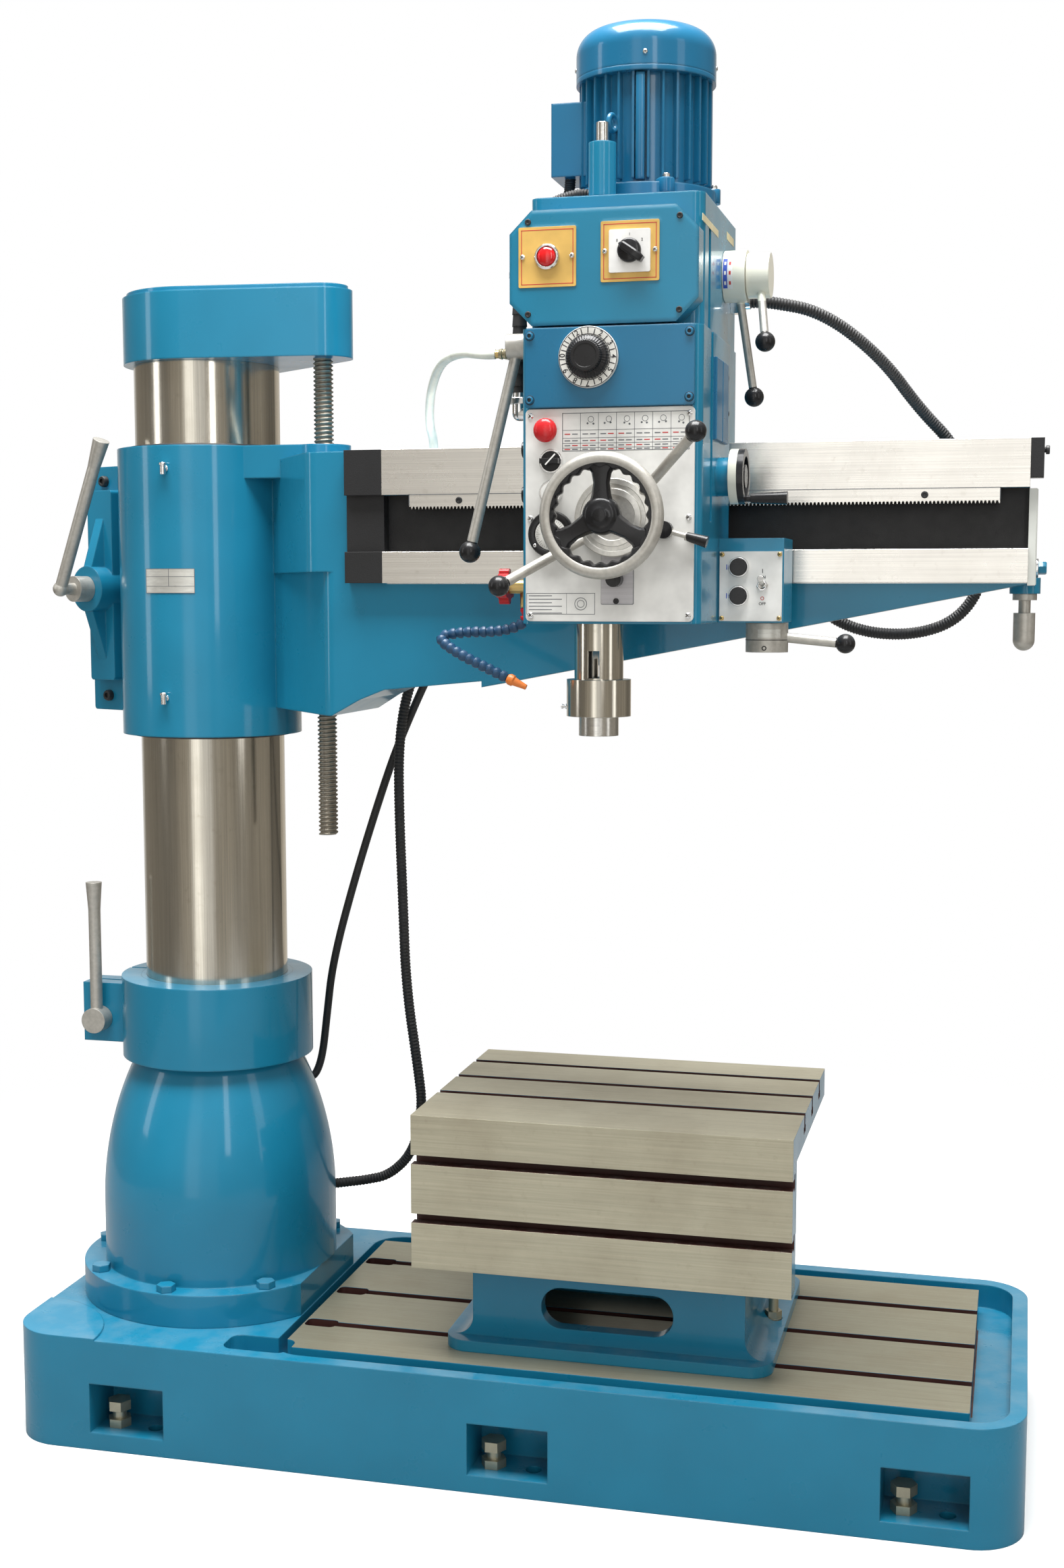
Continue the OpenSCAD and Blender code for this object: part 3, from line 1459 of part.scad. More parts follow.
module feed_handwheel() color(grey) {
    front_at([feed_x, feed_z], wheel_y) {
        rotate_extrude($fn = 64) {
            translate([wheel_r - wheel_t / 2, wheel_t / 2]) circle(wheel_t / 2, $fn = 24);
            translate([wheel_r - rim_in, rim_lip]) square([rim_t, wheel_t - 2 * rim_lip]);
        }
        for (i = [0 : 2]) rotate(90 + i * 120) translate([0, -spoke_w / 2, spoke_in])
            cube([wheel_r - wheel_t, spoke_w, wheel_t - 2 * spoke_in]);
        cylinder(h = wheel_t, r = wheel_hub);
    }
    front_at([feed_x, feed_z], feed_y - wheel_foot)
        cylinder(h = feed_y - wheel_foot - wheel_y + wheel_t, r = wheel_shaft);
}

module feed_lever() color(black) {
    d = [cos(engage_a), 0, sin(engage_a)];
    p = [engage_x, head_y - engage_t / 2 - seat, engage_z];
    front_at(engage_at, head_y - seat) cylinder(h = engage_t, r = engage_r);
    front_at(engage_at, head_y + engage_stem) cylinder(h = engage_stem + seat + over, r = stem);
    rod(p, p + d * engage_l, engage_rod_r, engage_rod_r);
    rod(p + d * engage_l / 2, p + d * engage_l, engage_grip_r[0], engage_grip_r[1]);
}

// control at a place on the front, with its stem behind the face at y
module dial(p, y) {
    front_at(p, y - seat) children();
    front_at(p, y + stem_l) cylinder(h = stem_l + seat + over, r = stem);
}

module speed_dial() color(black) dial(dial_at, head_y + panel_t - cover_t) {
    cylinder(h = dial_t, r = dial_r);
    cylinder(h = dial_knob_t, r = dial_knob_r);
}

module stop_button() color(red) dial(stop_at, head_y) {
    cylinder(h = stop_lift + stop_cap, r = stem);
    translate([0, 0, stop_lift]) cylinder(h = stop_cap, r1 = stop_r * stop_share, r2 = stop_r);
    translate([0, 0, stop_lift + stop_cap]) cylinder(h = stop_cap, r1 = stop_r, r2 = stop_r * stop_share);
}

module feed_selector() color(black) dial(select_at, head_y) {
    cylinder(h = select_t, r = select_r);
    translate([-select_r, -select_w / 2, 0]) cube([2 * select_r, select_w, select_h]);
}

module start_button() color(steel) dial(start_at, head_y) {
    cylinder(h = start_lift + start_t, r = stem);
    translate([0, 0, start_lift]) cylinder(h = start_t, r = start_r);
}

module depth_dial() color(black) dial(depth_at, head_y) {
    cylinder(h = depth_t, r = depth_r);
    cylinder(h = depth_t + depth_face, r = depth_r * depth_share);
}

module depth_knob() color(black) dial(knob_at, head_y) cylinder(h = knob_t, r = knob_r);

module main_switch() color(black) {
    front_at(switch_at, head_y - sign_t - seat) {
        cylinder(h = switch_t, r = switch_r);
        translate([-switch_r, -switch_bar_w / 2, 0]) cube([2 * switch_r, switch_bar_w, switch_bar_h]);
    }
    front_at(switch_at, head_y + switch_stem) cylinder(h = switch_stem + sign_t + seat + over, r = stem);
}

// children at a place on the elevation box's panel
module box_place(s) {
    translate([head_x1 + s[0] * ebox_w, ebox_y - panel_t / 2, head_z + s[1] * ebox_h]) children();
}

module box_button(s) {
    box_place(s) rotate([90, 0, 0]) {
        translate([0, 0, -ebox_stem]) cylinder(h = ebox_stem + press + over, r = stem);
        translate([0, 0, press + seat]) cylinder(h = button_h, r = button_r);
    }
}

module up_button() color(black) box_button(ebox_shares[0]);

module down_button() color(black) box_button(ebox_shares[1]);

module elevation_toggle() color(steel) box_place(ebox_shares[2]) {
    rotate([0, 90, 0])
        cylinder(h = 2 * stem * toggle_shares[2], r = stem * toggle_shares[2], center = true);
    rotate([toggle_a, 0, 0])
        cylinder(h = toggle_l, r1 = stem * toggle_shares[0], r2 = stem * toggle_shares[1]);
}

// ring on the speed hub with its lever
module speed_lever(x, r, l, a) {
    p = [x + hub_t / 2, hub_y, hub_z];
    q = p + l * [speed_out_share, sin(a), -cos(a)];
    right_at(x, hub_y, hub_z) ring(hub_t - slide, r, hub_shaft + run);
    rod(p + (q - p) * (r - hub_step) / l, q, speed_rod_r, speed_rod_r);
    ball(q, ball_r);
}

module inner_speed_lever() color(grey) speed_lever(head_x1 - gear_in + slide, hub_r, inner_l, inner_a);

module outer_speed_lever() color(grey) {
    x = head_x1 - gear_in + hub_t + 2 * slide;
    speed_lever(x, hub_r - hub_step, outer_l, outer_a);
    right_at(x - hub_t - slide - speed_pin, hub_y, hub_z)
        cylinder(h = hub_t + speed_pin + slide, r = hub_shaft);
    right_at(x, hub_y, hub_z) cylinder(h = hub_t - slide, r = speed_pin);
}

module traverse_wheel() color(grey) {
    x = head_x1 + twheel_boss + slide;
    right_at(x - twheel_boss - twheel_shaft_l, twheel_y, twheel_z)
        cylinder(h = twheel_shaft_l + twheel_boss + twheel_t, r = twheel_shaft);
    right_at(x, twheel_y, twheel_z) {
        ring(twheel_t, twheel_r, twheel_r - twheel_rim);
        cylinder(h = twheel_t, r = twheel_hub);
        for (i = [0 : 2]) rotate(i * 120) translate([0, -twheel_spoke / 2, twheel_spoke_z])
            cube([twheel_r - twheel_rim / 2, twheel_spoke, twheel_spoke]);
        translate([0, -twheel_r + twheel_grip_in, twheel_t]) {
            cylinder(h = twheel_neck_l, r = twheel_neck_r);
            translate([0, 0, twheel_neck_l])
                cylinder(h = twheel_grip, r1 = twheel_grip_r[0], r2 = twheel_grip_r[1]);
        }
    }
}

module head_lock_lever() color(grey) translate([lock_x, lock_y, head_z - lock_h - slide]) {
    end = [lock_l, 0, lock_h * lock_rise_shares[1]];
    cylinder(h = lock_h, r = lock_r);
    rod([lock_r - lock_sink, 0, lock_h * lock_rise_shares[0]], end, rod_r, rod_r);
    ball(end, ball_r);
}

module range_lever() color(grey) {
    x = head_x0 - slide;
    p = [x - range_hub_t / 2, range_y, range_z];
    q = p - [range_out, 0, range_l];
    right_at(x - range_hub_t, range_y, range_z) cylinder(h = range_hub_t, r = range_hub_r);
    right_at(x - over, range_y, range_z) cylinder(h = range_pin_l + over, r = range_pin_r);
    rod(p, q, range_rod_r, range_rod_r);
    ball(q, range_ball_r);
}

// stand of the table in x and z, flared into the foot and the body
module stand_outline() {
    h = table_h - front_h;
    translate([table_x - stand_w / 2, base_h]) square([stand_w, table_h - table_t]);
    for (s = [0, 1]) translate([table_x, base_h]) mirror([s, 0]) translate([stand_w / 2, 0]) {
        translate([0, foot_h]) fillet(stand_fillet);
        translate([0, h]) mirror([0, 1]) fillet(stand_fillet);
    }
}

module box_table() color(blue) {
    y0 = -table_y;
    difference() {
        union() {
            translate([table_x0, y0, table_top - table_t]) cube([table_w, table_d, table_t]);
            translate([table_x0, y0, table_top - front_h]) cube([table_w, table_t, front_h]);
            translate([0, 0, table_top - front_h]) linear_extrude(front_h)
                span([table_x0 + body_in, y0 + over],
                    [table_x0 + table_w - body_in, y0 + table_d * body_share], body_r);
            front(stand_y1) linear_extrude(stand_y0 + stand_y1) stand_outline();
            translate([table_x, 0, base_h]) linear_extrude(foot_h) rrect(foot_w, 2 * foot_y, foot_r);
        }
        translate([table_x - stand_w / 2 + stand_t, -stand_y0 + stand_t, base_h - over])
            cube([stand_w - 2 * stand_t, stand_y0 + stand_y1 - 2 * stand_t,
                table_h - table_t - stand_t + over]);
        for (j = [-1 : 1]) translate([0, y0 + table_d * top_slot_share + j * top_pitch, table_top])
            right(table_x0 - over) linear_extrude(table_w + 2 * over)
                tee(table_slot_w, t_head_w, t_head_h, t_depth);
        for (j = [0, 1]) translate([0, y0, table_top - front_h * front_slot_share - j * front_pitch])
            rotate([90, 0, 0]) right(table_x0 - over) linear_extrude(table_w + 2 * over)
                tee(table_slot_w, t_head_w, t_head_h, t_depth);
        front_at([table_x, window_z + window_h / 2], 2 * table_y) linear_extrude(4 * table_y)
            rrect(window_l, window_h, window_h / 2 - over);
        foot_bolt_places() translate([0, 0, base_h - over])
            cylinder(h = foot_h + 2 * over, d = foot_bolt + 2 * foot_bolt_gap);
        foot_bolt_places() translate([0, 0, base_h + foot_h - spot_cut])
            cylinder(h = stand_fillet, d = bolt_af + 2 * foot_bolt_gap);
    }
}

module head_hoses() color(black) {
    tube(supply_route, supply_r);
    ribbed_hose(loop_route, conduit_r, conduit_bore);
}

module column_conduits() color(black) {
    tube(ground_route, ground_r);
    ribbed_hose(power_route, conduit_r, conduit_bore);
}

base_casting();
pedestal();
base_fasteners();
clamp_collar();
column_bushes();
box_table();
column_clamp_lever();
column();
column_cap();
elevating_screw();
arm_casting();
traverse_rack();
traverse_pinion();
way_stops();
arm_handle();
arm_clamp_bracket();
arm_screws();
control_cabinet();
elevating_motor();
elevating_nut();
arm_clamp_lever();
head_casting();
front_panel();
upper_cover();
control_box();
lamp();
panel_screws();
drive_motor();
fan_cover();
motor_rotor();
oil_cup();
elevation_box();
gear_cover();
conduit_fittings();
coolant_valve();
coolant_hose();
quill();
spindle_bearings();
spindle();
capstan();
feed_handwheel();
feed_lever();
speed_dial();
stop_button();
feed_selector();
start_button();
depth_dial();
depth_knob();
main_switch();
up_button();
down_button();
elevation_toggle();
outer_speed_lever();
inner_speed_lever();
traverse_wheel();
head_lock_lever();
range_lever();
valve_handle();
head_hoses();
column_conduits();
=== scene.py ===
import math
import bpy
import bmesh
from mathutils import Matrix, Vector


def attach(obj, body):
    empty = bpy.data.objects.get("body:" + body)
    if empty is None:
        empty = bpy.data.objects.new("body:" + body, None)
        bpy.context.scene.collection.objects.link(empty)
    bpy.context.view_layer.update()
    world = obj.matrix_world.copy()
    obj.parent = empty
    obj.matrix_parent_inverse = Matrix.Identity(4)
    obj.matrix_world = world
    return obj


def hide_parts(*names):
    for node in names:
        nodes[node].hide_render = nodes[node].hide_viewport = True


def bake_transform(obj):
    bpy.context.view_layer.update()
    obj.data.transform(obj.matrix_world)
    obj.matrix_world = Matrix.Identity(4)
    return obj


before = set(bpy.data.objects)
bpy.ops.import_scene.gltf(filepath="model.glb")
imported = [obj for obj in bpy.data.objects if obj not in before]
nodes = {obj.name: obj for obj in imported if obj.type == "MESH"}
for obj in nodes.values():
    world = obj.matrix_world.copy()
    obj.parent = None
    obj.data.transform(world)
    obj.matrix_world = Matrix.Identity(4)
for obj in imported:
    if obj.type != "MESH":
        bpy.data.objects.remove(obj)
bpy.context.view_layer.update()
scene = bpy.context.scene
mm = 0.001
front, right, top = Vector((0, -1, 0)), Vector((1, 0, 0)), Vector((0, 0, 1))  # front is the operator's side
square = ((-1, -1), (1, -1), (1, 1), (-1, 1))


def point(x, y, z):
    return Vector((x, y, z)) * mm


def around(angle):
    return Vector((math.cos(angle), 0, math.sin(angle)))  # seen from the front


def outward(degrees):
    a = math.radians(degrees)
    return Vector((math.cos(a), math.sin(a), 0))  # seen from above


# camera
cameraSpec = {"place": (1175.2, -2720.5, 1208.0), "turn": 14.01, "tilt": -6.26, "lens": 45.13,
              "sensor": 36.0, "shiftX": -0.0029, "shiftY": 0.0157}


def makeCamera(spec):
    data = bpy.data.cameras.new("viewCamera")
    data.sensor_fit = "VERTICAL"
    data.sensor_height = spec["sensor"]
    data.lens = spec["lens"]
    data.shift_x = spec["shiftX"]
    data.shift_y = spec["shiftY"]
    data.clip_end = 100
    cam = bpy.data.objects.new("viewCamera", data)
    cam.location = point(*spec["place"])
    cam.rotation_euler = (math.radians(90 + spec["tilt"]), 0, math.radians(spec["turn"]))
    scene.collection.objects.link(cam)
    scene.camera = cam


makeCamera(cameraSpec)
print("camera set")


# mesh helpers
def meshPiece(name, bm, body, smooth=40):
    mesh = bpy.data.meshes.new(name)
    bmesh.ops.recalc_face_normals(bm, faces=bm.faces)
    for face in bm.faces:
        face.smooth = True
    for edge in bm.edges:
        if len(edge.link_faces) == 2 and edge.calc_face_angle(0) > math.radians(smooth):
            edge.smooth = False
    bm.to_mesh(mesh)
    bm.free()
    obj = bpy.data.objects.new(name, mesh)
    scene.collection.objects.link(obj)
    if body:
        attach(obj, body)
    return obj


def loftRings(bm, rings, closed=False):
    loops = [[bm.verts.new(p) for p in ring] for ring in rings]
    pairs = list(zip(loops, loops[1:]))
    if closed:
        pairs.append((loops[-1], loops[0]))
    for a, b in pairs:
        for k in range(len(a)):
            m = (k + 1) % len(a)
            bm.faces.new((a[k], b[k], b[m], a[m]))
    if not closed:
        bm.faces.new(loops[0])
        bm.faces.new(list(reversed(loops[-1])))


def frameAlong(direction):
    d = direction.normalized()
    side = d.cross(Vector((0.31, 0.9, 0.27))).normalized()
    return side, d.cross(side)


def ringAt(centre, direction, radius, sides):
    u, w = frameAlong(direction)
    return [centre + radius * (u * math.cos(2 * math.pi * k / sides) + w * math.sin(2 * math.pi * k / sides))
            for k in range(sides)]


def turned(bm, start, direction, profile, sides=32):
    # profile is pairs of distance along the axis and radius, in mm
    d = direction.normalized()
    loftRings(bm, [ringAt(start + d * (s * mm), d, r * mm, sides) for s, r in profile])


def smoothRoute(route, times=3):
    p = [Vector(q) for q in route]
    for _ in range(times):
        cut = [p[0]]
        for a, b in zip(p, p[1:]):
            cut += [a * 0.75 + b * 0.25, a * 0.25 + b * 0.75]
        p = cut + [p[-1]]
    return p


def spreadRoute(p, count):
    lengths = [0.0]
    for a, b in zip(p, p[1:]):
        lengths.append(lengths[-1] + (b - a).length)
    out = []
    j = 0
    for i in range(count):
        s = lengths[-1] * i / (count - 1)
        while j < len(p) - 2 and lengths[j + 1] < s:
            j += 1
        t = (s - lengths[j]) / max(lengths[j + 1] - lengths[j], 1e-9)
        out.append(p[j].lerp(p[j + 1], min(t, 1)))
    return out, lengths[-1]


# cords: the routes are those of the solids, in mm
supplyHose = {"name": "supplyHose", "node": "head_hoses", "radius": 6, "ribs": 0,
              "bodies": ("head", "arm"), "held": (1, -2),
              "route": [(531.5, -348, 1499), (515.5, -348, 1499), (480, -325, 1506), (440, -280, 1500),
                        (405, -210, 1470), (385, -150, 1435), (385, -130, 1415), (385, -130, 1395)]}
loopConduit = {"name": "loopConduit", "node": "head_hoses", "radius": 8, "ribs": 230,
               "bodies": ("head", "arm"), "held": (1, -2),
               "route": [(826.5, -215.5, 1570), (846.5, -215.5, 1570), (915, -195, 1558), (985, -145, 1505),
                         (1030, -90, 1445), (1075, -60, 1400), (1110, -40, 1320), (1118, -30, 1230),
                         (1085, -22, 1172), (1020, -20, 1150), (940, -20, 1158), (880, -20, 1200),
                         (850, -20, 1240), (810, -20, 1240)]}
groundConduit = {"name": "groundConduit", "node": "column_conduits", "radius": 6, "ribs": 0,
                 "bodies": ("arm", "column"), "held": (4, -3),
                 "route": [(430, 15, 1225), (412, 15, 1225), (385, 60, 1200), (340, 105, 1150),
                           (300, 122, 1090), (258, 122, 1000), (230, 122, 930), (180, 122, 780),
                           (140, 122, 640), (126, 130, 550), (120, 126, 490), (112, 118, 460),
                           (102.7, 108.2, 455)]}
powerConduit = {"name": "powerConduit", "node": "column_conduits", "radius": 8, "ribs": 230,
                "bodies": ("arm", "column"), "held": (4, -3),
                "route": [(430, 12, 1270), (410, 12, 1270), (385, 60, 1240), (345, 100, 1190),
                          (300, 104, 1130), (270, 100, 1060), (257, 100, 980), (257, 100, 880),
                          (262, 100, 740), (266, 100, 610), (284, 102, 480), (288, 110, 420),
                          (268, 128, 345), (225, 140, 300), (185, 136, 290), (156, 116, 290),
                          (140, 104, 290)]}
cordSpecs = (supplyHose, loopConduit, groundConduit, powerConduit)
cordSides = 14
plainRings = 160  # rings of a cord without ribs
ribRings = 4      # rings of vertices for each rib
ribShare = 0.86   # radius in the grooves


def ribSize(i):
    return ribShare + (1 - ribShare) * (0.5 + 0.5 * math.cos(2 * math.pi * i / ribRings))


def ringsAlong(p, radiusAt):
    last = len(p) - 1
    return [ringAt(c, p[min(i + 1, last)] - p[max(i - 1, 0)], radiusAt(i), cordSides)
            for i, c in enumerate(p)]


def makeCord(spec):
    radius = spec["radius"] * mm
    path = smoothRoute([point(*p) for p in spec["route"]])
    p, length = spreadRoute(path, spec["ribs"] * ribRings + 1 if spec["ribs"] else plainRings)
    bm = bmesh.new()
    loftRings(bm, ringsAlong(p, lambda i: radius * ribSize(i) if spec["ribs"] else radius))
    obj = meshPiece(spec["name"], bm, None)
    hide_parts(spec["node"])
    return obj


cords = {spec["name"]: makeCord(spec) for spec in cordSpecs}
for spec in cordSpecs:
    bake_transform(cords[spec["name"]])
print("cords made")


# shader helpers
def col(r, g, b):
    return (r, g, b, 1.0)


def put(tree, kind, inputs=None, **props):
    node = tree.nodes.new(kind)
    for key, value in props.items():
        setattr(node, key, value)
    for key, value in (inputs or {}).items():
        if isinstance(value, bpy.types.NodeSocket):
            tree.links.new(value, node.inputs[key])
        else:
            node.inputs[key].default_value = value
    return node


def maths(tree, operation, a, b=0.0, c=0.0, clamp=False):
    return put(tree, "ShaderNodeMath", {0: a, 1: b, 2: c}, operation=operation, use_clamp=clamp).outputs[0]


def vectors(tree, operation, a, b=(0, 0, 0)):
    return put(tree, "ShaderNodeVectorMath", {0: a, 1: b}, operation=operation)


def spread(tree, value, low, high, toLow=0.0, toHigh=1.0):
    return put(tree, "ShaderNodeMapRange", {"Value": value, "From Min": low, "From Max": high,
                                            "To Min": toLow, "To Max": toHigh}).outputs[0]


def blendColours(tree, share, a, b):
    node = put(tree, "ShaderNodeMix", {"Factor": share}, data_type="RGBA")
    for socket, value in ((node.inputs[6], a), (node.inputs[7], b)):
        if isinstance(value, bpy.types.NodeSocket):
            tree.links.new(value, socket)
        else:
            socket.default_value = value
    return node.outputs[2]


def noise(tree, vector, scale, detail=2.0, rough=0.5):
    return put(tree, "ShaderNodeTexNoise", {"Vector": vector, "Scale": scale, "Detail": detail,
                                            "Roughness": rough}).outputs["Fac"]


def bumped(tree, strength, distance, height, normal):
    return put(tree, "ShaderNodeBump", {"Strength": strength, "Distance": distance, "Height": height,
                                        "Normal": normal}).outputs[0]


def newGroup(name, inputs, outputs):
    group = bpy.data.node_groups.new(name, "ShaderNodeTree")
    for label, kind, value in inputs:
        socket = group.interface.new_socket(label, in_out="INPUT", socket_type=kind)
        if value is not None:
            socket.default_value = value
    for label, kind in outputs:
        group.interface.new_socket(label, in_out="OUTPUT", socket_type=kind)
    return group, group.nodes.new("NodeGroupInput").outputs, group.nodes.new("NodeGroupOutput").inputs


colourKind, floatKind, vectorKind = "NodeSocketColor", "NodeSocketFloat", "NodeSocketVector"


def makePaintGroup():
    group, given, out = newGroup("paintFinish", [
        ("Paint", colourKind, col(0.02, 0.2, 0.36)), ("Worn", colourKind, col(0.1, 0.3, 0.42)),
        ("Peel", floatKind, 0.08), ("Wear", floatKind, 0.5), ("Round", floatKind, 0.003)],
        [("Color", colourKind), ("Roughness", floatKind), ("Normal", vectorKind)])
    where = put(group, "ShaderNodeTexCoord").outputs["Object"]
    soft = put(group, "ShaderNodeBevel", {"Radius": given["Round"]}, samples=4).outputs[0]
    plain = put(group, "ShaderNodeNewGeometry").outputs["Normal"]
    facing = vectors(group, "DOT_PRODUCT", soft, plain).outputs["Value"]
    edge = spread(group, facing, 0.985, 0.86)
    rub = spread(group, noise(group, where, 34, 4, 0.7), 0.44, 0.66)
    worn = maths(group, "MULTIPLY", maths(group, "MULTIPLY", edge, rub), given["Wear"], clamp=True)
    tone = spread(group, noise(group, where, 5.5, 3), 0.3, 0.7, 0.9, 1.08)
    painted = vectors(group, "SCALE", given["Paint"])
    group.links.new(tone, painted.inputs["Scale"])
    up = put(group, "ShaderNodeSeparateXYZ", {0: soft}).outputs[2]
    patches = spread(group, noise(group, where, 21, 5, 0.65), 0.4, 0.75)
    dust = maths(group, "MULTIPLY", spread(group, up, 0.5, 1.0), patches)
    thin = maths(group, "MULTIPLY", dust, 0.16)
    dusted = blendColours(group, thin, painted.outputs[0], col(0.42, 0.44, 0.42))
    group.links.new(blendColours(group, worn, dusted, given["Worn"]), out["Color"])
    smear = noise(group, where, 17, 4, 0.6)
    group.links.new(maths(group, "MULTIPLY_ADD", smear, 0.2, 0.2), out["Roughness"])
    fine = noise(group, where, 240, 2)
    group.links.new(bumped(group, given["Peel"], 0.0006, fine, soft), out["Normal"])
    return group


def makeMetalGroup():
    group, given, out = newGroup("toolMarks", [
        ("Tint", colourKind, col(0.35, 0.33, 0.27)), ("Stretch", vectorKind, (6, 420, 420)),
        ("Rough", floatKind, 0.36), ("Soil", floatKind, 0.35), ("Round", floatKind, 0.001)],
        [("Color", colourKind), ("Roughness", floatKind), ("Normal", vectorKind)])
    where = put(group, "ShaderNodeTexCoord").outputs["Object"]
    soft = put(group, "ShaderNodeBevel", {"Radius": given["Round"]}, samples=4).outputs[0]
    marks = noise(group, vectors(group, "MULTIPLY", where, given["Stretch"]).outputs[0], 1.0, 3, 0.6)
    patch = noise(group, where, 7.5, 5, 0.62)
    speck = noise(group, where, 90, 3, 0.6)
    soil = maths(group, "MULTIPLY", spread(group, patch, 0.42, 0.72), given["Soil"], clamp=True)
    specks = maths(group, "MULTIPLY", spread(group, speck, 0.6, 0.72), 0.1)
    soil = maths(group, "ADD", soil, specks, clamp=True)
    lines = vectors(group, "SCALE", given["Tint"])
    group.links.new(spread(group, marks, 0.25, 0.75, 0.86, 1.12), lines.inputs["Scale"])
    group.links.new(blendColours(group, soil, lines.outputs[0], col(0.2, 0.15, 0.09)), out["Color"])
    rough = maths(group, "MULTIPLY_ADD", patch, 0.16, maths(group, "SUBTRACT", given["Rough"], 0.08))
    group.links.new(rough, out["Roughness"])
    group.links.new(bumped(group, 0.12, 0.0004, marks, soft), out["Normal"])
    return group


def makePlasticGroup():
    group, given, out = newGroup("mouldedSkin", [
        ("Base", colourKind, col(0.02, 0.02, 0.02)), ("Rough", floatKind, 0.35), ("Grain", floatKind, 0.15),
        ("Dust", floatKind, 0.25), ("Round", floatKind, 0.001)],
        [("Color", colourKind), ("Roughness", floatKind), ("Normal", vectorKind)])
    where = put(group, "ShaderNodeTexCoord").outputs["Object"]
    soft = put(group, "ShaderNodeBevel", {"Radius": given["Round"]}, samples=4).outputs[0]
    tone = spread(group, noise(group, where, 26, 3), 0.3, 0.7, 0.85, 1.15)
    base = vectors(group, "SCALE", given["Base"])
    group.links.new(tone, base.inputs["Scale"])
    up = put(group, "ShaderNodeSeparateXYZ", {0: soft}).outputs[2]
    patches = spread(group, noise(group, where, 48, 5, 0.7), 0.42, 0.8)
    fluff = maths(group, "MULTIPLY", spread(group, up, 0.2, 1.0), patches)
    group.links.new(blendColours(group, maths(group, "MULTIPLY", fluff, given["Dust"]), base.outputs[0],
                                 col(0.36, 0.35, 0.33)), out["Color"])
    group.links.new(maths(group, "MULTIPLY_ADD", noise(group, where, 60, 3), 0.18,
                          maths(group, "SUBTRACT", given["Rough"], 0.09)), out["Roughness"])
    group.links.new(bumped(group, given["Grain"], 0.0004, noise(group, where, 700, 2), soft), out["Normal"])
    return group


def makeBoxGroup():
    group, given, out = newGroup("boxZone", [("Low", vectorKind, (0, 0, 0)), ("High", vectorKind, (1, 1, 1))],
                                 [("Mask", floatKind)])
    where = put(group, "ShaderNodeTexCoord").outputs["Object"]
    nearest = vectors(group, "MINIMUM", vectors(group, "SUBTRACT", where, given["Low"]).outputs[0],
                      vectors(group, "SUBTRACT", given["High"], where).outputs[0]).outputs[0]
    parts = put(group, "ShaderNodeSeparateXYZ", {0: nearest}).outputs
    least = maths(group, "MINIMUM", maths(group, "MINIMUM", parts[0], parts[1]), parts[2])
    group.links.new(maths(group, "GREATER_THAN", least, 0.0), out["Mask"])
    return group


def makeBallGroup():
    group, given, out = newGroup("ballZone", [("Centre", vectorKind, (0, 0, 0)), ("Radius", floatKind, 0.01)],
                                 [("Mask", floatKind)])
    where = put(group, "ShaderNodeTexCoord").outputs["Object"]
    away = vectors(group, "SUBTRACT", where, given["Centre"]).outputs[0]
    length = vectors(group, "LENGTH", away).outputs["Value"]
    group.links.new(maths(group, "LESS_THAN", length, given["Radius"]), out["Mask"])
    return group


paintGroup, metalGroup, plasticGroup = makePaintGroup(), makeMetalGroup(), makePlasticGroup()
boxGroup, ballGroup = makeBoxGroup(), makeBallGroup()


def useGroup(tree, group, inputs):
    node = put(tree, "ShaderNodeGroup", node_tree=group)
    for key, value in inputs.items():
        node.inputs[key].default_value = value
    return node.outputs


def finishOf(tree, group, inputs, metallic=0.0, coat=0.0):
    made = useGroup(tree, group, inputs)
    shader = put(tree, "ShaderNodeBsdfPrincipled", {
        "Base Color": made["Color"], "Roughness": made["Roughness"], "Normal": made["Normal"],
        "Metallic": metallic, "Specular IOR Level": 0.2 if coat else 0.5, "Coat Weight": coat,
        "Coat Roughness": 0.08})
    return shader.outputs[0]


def paint(colour, worn, wear=0.45, peel=0.1, edge=3.0, coat=0.5):
    return lambda tree: finishOf(tree, paintGroup, {"Paint": col(*colour), "Worn": col(*worn), "Wear": wear,
                                                    "Peel": peel, "Round": edge * mm}, coat=coat)


def metal(tint, stretch=(6, 420, 420), rough=0.36, soil=0.3, metallic=0.75, edge=1.0):
    return lambda tree: finishOf(tree, metalGroup, {"Tint": col(*tint), "Stretch": stretch, "Rough": rough,
                                                    "Soil": soil, "Round": edge * mm}, metallic)


def moulded(base, rough=0.35, grain=0.15, dust=0.25, edge=1.0, coat=0.0):
    return lambda tree: finishOf(tree, plasticGroup, {"Base": col(*base), "Rough": rough, "Grain": grain,
                                                      "Dust": dust, "Round": edge * mm}, coat=coat)


def inBox(low, high):
    return lambda tree: useGroup(tree, boxGroup, {"Low": point(*low), "High": point(*high)})["Mask"]


def inBall(centre, radius):
    return lambda tree: useGroup(tree, ballGroup, {"Centre": point(*centre), "Radius": radius * mm})["Mask"]


def facing(axis, side):
    # where the surface looks along one axis
    def mask(tree):
        normal = put(tree, "ShaderNodeNewGeometry").outputs["True Normal"]
        parts = put(tree, "ShaderNodeSeparateXYZ", {0: normal})
        along = maths(tree, "MULTIPLY", parts.outputs["XYZ".index(axis)], side)
        return maths(tree, "GREATER_THAN", along, 0.8)
    return mask


def both(*zones):
    def mask(tree):
        masks = [zone(tree) for zone in zones]
        total = masks[0]
        for other in masks[1:]:
            total = maths(tree, "MULTIPLY", total, other)
        return total
    return mask


